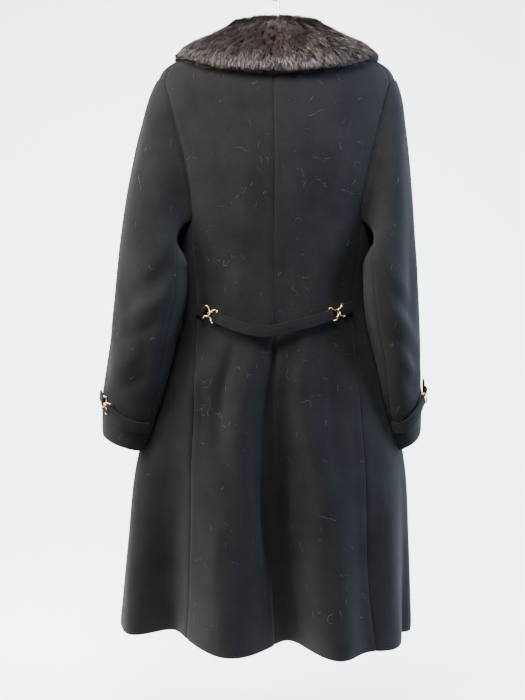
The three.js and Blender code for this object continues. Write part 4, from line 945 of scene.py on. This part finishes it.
CUFF_LINES = {
    "left": table("share around down", [
        (0, 134, 746), (0.25, 112, 746), (0.5, 90, 743), (0.75, 70, 735), (1, 55, 727)]),
    "right": table("share around down", [
        (0, 134, 743), (0.25, 110, 746), (0.5, 88, 740), (0.75, 64, 728), (1, 42, 714)]),
}
CUFF_STRAP_LIFT = {"start": 3.2, "end": 5.4}
BUTTON_DOWNS = (270, 410, 550, 690)
BUTTON_LIFT = 0.5
BUTTON_SIDES = 48
# Radius and height along a button's section, from the middle of its back to that of its face
BUTTON_PROFILE = np.array([
    (0.01, 0), (12.6, 0), (13.5, 0.3), (13.95, 1.2), (14, 2), (13.7, 3.4), (13, 4.3), (12.2, 4.5),
    (11.4, 4.35), (10.6, 3.9), (9.6, 3.5), (7, 3.3), (4, 3.25), (0.01, 3.25),
])
THREAD_RADIUS = 0.55
CENTRE_FRONT = np.array(180.0)
HOOK_STEM_X = 4.2
HOOK_RADIUS = 20
HOOK_WIRE = 1.7
HOOK_FOOT_Z = -108 + SEAM_GAP


def through(points, count, closed=False):
    """A smooth line through points, with count steps between neighbours."""
    points = np.asarray(points, float)
    size = len(points)
    t = np.linspace(0, 1, count, endpoint=False)[None, :, None]
    k = np.arange(size if closed else size - 1)

    def pick(index):
        return points[index % size if closed else np.clip(index, 0, size - 1)][:, None, :]

    line = spline(*(pick(k + step) for step in (-1, 0, 1, 2)), t).reshape(-1, points.shape[1])
    return line if closed else np.concatenate([line, points[-1:]])


class Line:
    """Frames along a smooth line: a point, a tangent and a normal at each length."""

    def __init__(self, points, normals):
        self.points = through(points, 24)
        self.normals = through(normals, 24)
        steps = np.linalg.norm(np.diff(self.points, axis=0), axis=1)
        self.lengths = np.concatenate([[0], np.cumsum(steps)])
        self.length = float(self.lengths[-1])

    def at(self, s):
        s = np.clip(np.asarray(s, float), 0, self.length)

        def value(rows):
            return np.stack([np.interp(s, self.lengths, rows[:, k]) for k in range(3)], -1)

        tangent = unit(value(np.gradient(self.points, self.lengths, axis=0)))
        normal = value(self.normals)
        normal = unit(normal - tangent * (normal * tangent).sum(-1, keepdims=True))
        return value(self.points), tangent, normal


def strap(node, line, width, eye_at_start=False, name=None):
    """A folded cloth strap: soft edges, a stitch groove inside each edge, and round ends."""
    length = line.length
    plain_from = STRAP_END_LENGTH if eye_at_start else 0
    plain_to = length - STRAP_END_LENGTH
    fine = np.linspace(0, STRAP_END_LENGTH, 16)
    stations = np.unique(np.round(np.concatenate([
        fine if eye_at_start else [0, 0.4, 1.2],
        np.linspace(plain_from, plain_to, max(int(length / STRAP_STEP), 4)),
        length - fine, length - STRAP_END["fromTip"][::-1],
    ]), 3))
    from_tip = np.minimum(length - stations, stations) if eye_at_start else length - stations
    half = np.interp(from_tip, STRAP_END["fromTip"], STRAP_END["half"])
    point, tangent, normal = line.at(stations)
    across = np.cross(tangent, normal)
    turn = np.linspace(0, 2 * math.pi, STRAP_SIDES, endpoint=False)
    side = round_power(np.cos(turn), 0.3) * width / 2
    from_stitch = np.abs(side) - (width / 2 - 2.4)
    groove = 1 - 0.22 * np.exp(-((from_stitch / 0.7) ** 2))
    pucker = 1 + 0.05 * np.sin(stations * 0.9)[:, None] * np.exp(-((from_stitch / 1.6) ** 2))
    rise = half[:, None] * (round_power(np.sin(turn), 0.42) * groove)[None] * pucker
    rows = point[:, None] + across[:, None] * side[None, :, None] + normal[:, None] * rise[..., None]
    piece = closed_form(name or f"{node}_cloth", rows, ring_faces(len(stations), STRAP_SIDES), sharp=60)
    return finish_piece(piece, WOOL_TRIM, "wool", node)


def tube(name, centre, radius, closed=False, sides=14):
    """A round rod along a line of points."""
    count = len(centre)
    ahead, behind = np.roll(centre, -1, axis=0), np.roll(centre, 1, axis=0)
    if not closed:
        ahead[-1], behind[0] = centre[-1], centre[0]
    tangent = unit(ahead - behind)
    up = np.zeros_like(centre)
    current = np.cross(tangent[0], [0.3, 0.9, 0.2])
    for k in range(count):
        current = current - tangent[k] * np.dot(current, tangent[k])
        current = current / np.linalg.norm(current)
        up[k] = current
    across = np.cross(tangent, up)
    twist = 0
    if closed:
        last = up[-1] - tangent[0] * np.dot(up[-1], tangent[0])
        twist = math.atan2(np.dot(last, across[0]), np.dot(last, up[0]))
    turns = np.linspace(0, 2 * math.pi, sides, endpoint=False)
    phase = turns[None] - twist * (np.arange(count) / count)[:, None]
    spoke = np.cos(phase)[..., None] * up[:, None] + np.sin(phase)[..., None] * across[:, None]
    return closed_form(name, centre[:, None] + radius * spoke, ring_faces(count, sides, closed))


def bar_frame(line, at_start):
    point, tangent, normal = line.at(STRAP_BAR_FROM_TIP if at_start else line.length - STRAP_BAR_FROM_TIP)
    return point, -tangent if at_start else tangent, normal


def link(name, place, depth, width):
    """A plain closed wire link: a bar through the strap's fold and two legs to a round bend."""
    point, tangent, normal = place
    half = width / 2 + SEAM_GAP + LINK_ROD
    bend = LINK_BEND
    side = [(0, half - 1.2), (0.5, half - 0.2), (1.6, half + 0.15), (4.4, half),
            (mix(4.4, depth - bend, 0.5), mix(half, bend, 0.55)), (depth - bend * 1.1, bend)]
    side += [(depth - bend * (1 - math.cos(math.radians(a))), bend * math.sin(math.radians(a)))
             for a in (55, 25)]
    plan = np.array([(0, 0)] + side + [(depth, 0)] + [(t, -w) for t, w in reversed(side)])
    across = np.cross(tangent, normal)
    rise = plan[:, 1] * LINK_TWIST * smooth_step(2, depth - bend, plan[:, 0])
    corners = point + plan[:, :1] * tangent + plan[:, 1:] * across + rise[:, None] * normal
    wire = tube(f"{name}_wire", through(corners, 6, closed=True), LINK_ROD, closed=True)
    return finish_piece(wire, GOLD, "gold", name)


def fastening(kind, side, bar, start, normal, depth, width):
    """A short tab sewn to the cloth, and the pair of links between it and a strap's end."""
    reach = depth - LINK_OVERLAP / 2
    start = start + normal * TAB_LIFT
    way = bar[0] + bar[1] * reach - start
    direction = unit(way)
    length = np.linalg.norm(way) - reach + STRAP_BAR_FROM_TIP
    up = unit(normal - direction * np.dot(normal, direction))
    tab = Line([start + direction * length * share for share in (0, 0.5, 1)], [up, up, up])
    return [strap(f"{kind}_tab_{side}", tab, width),
            link(f"{kind}_link_{side}_a", bar_frame(tab, False), depth, width),
            link(f"{kind}_link_{side}_b", bar, depth, width)]


def back_place(x, z):
    ring = ring_at_height(np.zeros(np.shape(x)), z)
    sizes = ring_sizes(ring)
    sine = round_power((x - sizes["centre"]) / sizes["half"], SECTION_POWER / 2)
    angle = np.degrees(np.arcsin(sine))
    return body_point(angle, ring), body_normal(angle, ring)


def belt():
    point, normal = back_place(BELT_LINE["x"], BELT_LINE["z"])
    line = Line(point + normal * BELT_LINE["standOff"][:, None], normal)
    pieces = {"left": [], "right": [strap("half_belt", line, BELT_WIDTH, True, "belt_cloth")]}
    for side, end in BELT_ENDS.items():
        start = back_place(np.array(float(end["x"])), np.array(float(end["z"])))
        bar = bar_frame(line, side == "left")
        pieces[side] += fastening("belt", side, bar, *start, end["depth"], BELT_WIDTH)
    return pieces


def sleeve_frame(side, around, down):
    cuff_down, start_down = -SLEEVES[side]["cuffZ"], -SLEEVE_START_Z
    return sleeve_surface(side, around, 1 + (down - start_down) / (cuff_down - start_down))


def cuff(side):
    rows = CUFF_LINES[side]
    share = np.linspace(0, 1, 13)
    around = column_at(rows, "share", "around", share)
    down = column_at(rows, "share", "down", share)
    point, normal = sleeve_frame(side, around, down)
    # How far the sleeve swells above the line's tangent plane, within the strap's width
    swell = np.zeros(len(share))
    for turn in (-10, 0, 10):
        for step in (-1, -0.5, 0.5, 1):
            near = sleeve_frame(side, around + turn, down + step * CUFF_STRAP_WIDTH / 2)[0]
            swell = np.maximum(swell, ((near - point) * normal).sum(-1))
    lift = mix(CUFF_STRAP_LIFT["start"], CUFF_STRAP_LIFT["end"], share) + swell
    line = Line(point + normal * lift[:, None], normal)
    start = sleeve_frame(side, *np.array(CUFF_TABS[side], float))
    return [strap(f"cuff_strap_{side}", line, CUFF_STRAP_WIDTH),
            *fastening("cuff", side, bar_frame(line, False), *start, CUFF_LINK_DEPTH, CUFF_STRAP_WIDTH)]


def button(name, down):
    """A plain button with a raised rim, and the thread across its holes."""
    ring = ring_at_height(CENTRE_FRONT, np.array(float(-down)))
    normal = body_normal(CENTRE_FRONT, ring)
    centre = body_point(CENTRE_FRONT, ring) + normal * BUTTON_LIFT
    up = unit(np.cross(normal, [1, 0, 0]))
    side = np.cross(up, normal)
    turns = np.linspace(0, 2 * math.pi, BUTTON_SIDES, endpoint=False)[None, :, None]
    radius, height = BUTTON_PROFILE.T[:, :, None, None]
    rows = centre + radius * (np.cos(turns) * side + np.sin(turns) * up) + height * normal
    piece = closed_form(f"{name}_horn", rows, ring_faces(len(BUTTON_PROFILE), BUTTON_SIDES), sharp=45)
    finish_piece(piece, HORN, "button", name)
    for k, x in enumerate((-2.2, 2.2)):
        ends = [centre + normal * out + side * x + up * y for out, y in ((3.1, -2.6), (3.9, 0), (3.1, 2.6))]
        thread = tube(f"{name}_thread_{k + 1}", through(ends, 6), THREAD_RADIUS, sides=8)
        finish_piece(thread, WOOL_TRIM, "button", name)
        thread.parent = piece
    return piece


def hook():
    centre_z = HOOK_WIRE - HOOK_RADIUS
    points = [(HOOK_STEM_X, 0, HOOK_FOOT_Z + rise) for rise in (0, 24, 48)]
    points.append((HOOK_STEM_X - 1.2, 0, centre_z - HOOK_RADIUS - 3))
    for turn in np.radians(range(-112, -373, -20)):
        points.append((HOOK_RADIUS * math.cos(turn), 0, centre_z + HOOK_RADIUS * math.sin(turn)))
    finish_piece(tube("hook_wire", through(points, 8), HOOK_WIRE, sides=20), WIRE, "wire", "hanger_hook")


BELT_PIECES = belt()
CUFF_PIECES = {side: cuff(side) for side in ("left", "right")}
BUTTONS = [button(f"button_{k + 1}", down) for k, down in enumerate(BUTTON_DOWNS)]
hook()


# Loose white lint

LINT_STEPS = 13
LINT_SPACING = 1.5
LINT_SIDES = (0, 2.094, 4.189)
LINT_SEED = 31
LINT_COUNTS = {"back": 95, "sleeve": 45, "other": 18}
LINT = plastic_material("lint_fibre", (0.06, 0.057, 0.055), (0.20, 0.195, 0.19), 0.8, 60)


def on_grid(grid, row, column):
    """Points of a grid at fractional rows and columns."""
    r = np.clip(row, 0, grid.shape[0] - 1.001)
    c = np.clip(column, 0, grid.shape[1] - 1.001)
    i, j = r.astype(int), c.astype(int)
    fr, fc = (r - i)[:, None], (c - j)[:, None]
    return ((grid[i, j] * (1 - fc) + grid[i, j + 1] * fc) * (1 - fr)
            + (grid[i + 1, j] * (1 - fc) + grid[i + 1, j + 1] * fc) * fr)


def fibre_paths(random, outer, normal, count, first_row):
    """Curly lines that wander over a panel, just above its surface."""
    row = random.uniform(first_row, 0.97, count) * (outer.shape[0] - 1)
    column = random.uniform(0.1, 0.9, count) * (outer.shape[1] - 1)
    heading = random.uniform(0, 2 * math.pi, count)
    curl = random.normal(0, 0.16, count)
    spacing = LINT_SPACING * random.uniform(0.3, 0.9, count) * np.where(random.random(count) < 0.16, 1.7, 0.8)
    radius = random.uniform(0.05, 0.115, count)
    path = []
    for _ in range(LINT_STEPS):
        here = on_grid(outer, row, column)
        path.append(here + on_grid(normal, row, column) * (0.55 + 0.5 * random.random(count))[:, None])
        per_row = np.linalg.norm(on_grid(outer, row + 1, column) - here, axis=1)
        per_column = np.linalg.norm(on_grid(outer, row, column + 1) - here, axis=1)
        row = row + np.cos(heading) * spacing / np.maximum(per_row, 0.8)
        column = column + np.sin(heading) * spacing / np.maximum(per_column, 0.8)
        heading = heading + curl + random.normal(0, 0.3, count)
    return np.stack(path, 1), radius[:, None, None]


def lint():
    """Short curly fibres that lie on the cloth, as one mesh of thin threads."""
    random = np.random.default_rng(LINT_SEED)
    points, faces = [], []
    first = 0
    sides = len(LINT_SIDES)
    for name, (outer, normal) in SURFACES.items():
        on_back = name.startswith("back")
        count = LINT_COUNTS["back" if on_back else "sleeve" if "upper" in name else "other"]
        path, radius = fibre_paths(random, outer, normal, count, 0.12 if on_back else 0.05)
        tangent = unit(np.gradient(path, axis=1))
        up = unit(np.cross(tangent, np.array([0.31, 0.22, 0.93])))
        side = np.cross(tangent, up)
        rings = [path + (up * math.cos(turn) + side * math.sin(turn)) * radius for turn in LINT_SIDES]
        points.append(np.stack(rings, 2).reshape(-1, 3))
        fibre = first + np.arange(count)[:, None, None] * (LINT_STEPS * sides)
        base = fibre + np.arange(LINT_STEPS - 1)[None, :, None] * sides
        for k in range(sides):
            after = (k + 1) % sides
            quad = np.concatenate([base + k, base + sides + k, base + sides + after, base + after], -1)
            faces.append(quad.reshape(-1, 4))
        first += count * LINT_STEPS * sides
    faces = np.concatenate(faces)
    piece = quick_mesh("lint", np.concatenate(points), faces.ravel(), np.arange(len(faces)) * 4)
    finish_piece(piece, LINT, "wool")


lint()


# Camera, floor and light, in metres

CAMERA_AT = (-0.0238, -1.2, -0.633)
CAMERA_LENS = 36.3
FLOOR_Z = -1.3
FLOOR_ENDS = {"near": -0.3, "curve": 1.2, "halfWidth": 4, "top": 3.2}
FLOOR_CURVE = {"radius": 0.9, "steps": 12}
FLOOR_GLOW = 2.2


def camera():
    data = bpy.data.cameras.new("camera")
    data.lens = CAMERA_LENS
    data.sensor_width = 36
    piece = in_scene("camera", data)
    piece.location = CAMERA_AT
    piece.rotation_euler = (math.radians(90), 0, 0)
    bpy.context.scene.camera = piece


def studio():
    """A pale floor that curves up into a pale backdrop, and an even surround."""
    curve, radius, steps = FLOOR_ENDS["curve"], *FLOOR_CURVE.values()
    profile = [(FLOOR_ENDS["near"], FLOOR_Z), (curve, FLOOR_Z)]
    for k in range(1, steps + 1):
        turn = math.radians(90 * k / steps)
        profile.append((curve + radius * math.sin(turn), FLOOR_Z + radius * (1 - math.cos(turn))))
    profile.append((curve + radius, FLOOR_ENDS["top"]))
    points = [(x, y, z) for y, z in profile for x in (-FLOOR_ENDS["halfWidth"], FLOOR_ENDS["halfWidth"])]
    mesh = bpy.data.meshes.new("floor")
    mesh.from_pydata(points, [], grid_faces(len(profile), 2))
    mesh.shade_smooth()
    floor = in_scene("floor", mesh)
    material, tree, shader, _ = nodes_of("floor")
    fill(tree, shader, Base_Color=(0.9, 0.9, 0.9, 1), Roughness=0.8, Emission_Color=(1, 1, 1, 1),
         Emission_Strength=FLOOR_GLOW)
    mesh.materials.append(material)
    world = bpy.data.worlds.new("studio")
    world.use_nodes = True
    fill(world.node_tree, world.node_tree.nodes["Background"], Color=(0.93, 0.96, 1, 1), Strength=0.2)
    bpy.context.scene.world = world


def lamp(name, place, target, size, power, colour):
    data = bpy.data.lights.new(name, "AREA")
    data.shape = "RECTANGLE"
    data.size, data.size_y = size
    data.energy = power
    data.color = colour
    piece = in_scene(name, data)
    piece.location = place
    away = [a - b for a, b in zip(place, target)]
    yaw = math.atan2(away[0], -away[1])
    pitch = math.atan2(math.hypot(away[0], away[1]), away[2])
    piece.rotation_euler = (pitch, 0, yaw)


camera()
studio()
lamp("key_left", (-2.0, -0.75, 0.42), (-0.1, 0, -0.35), (0.7, 1.1), 180, (1, 0.96, 0.9))
lamp("fill_right", (1.9, -0.5, 0.15), (0.15, 0, -0.45), (0.6, 1.3), 145, (0.55, 0.72, 1))
lamp("top", (-0.3, -0.95, 0.85), (-0.05, 0, -0.2), (1.0, 0.6), 90, (1, 0.98, 0.97))

hanger_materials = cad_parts["hanger_body"].data.materials
hanger_materials.clear()
hanger_materials.append(HANGER)
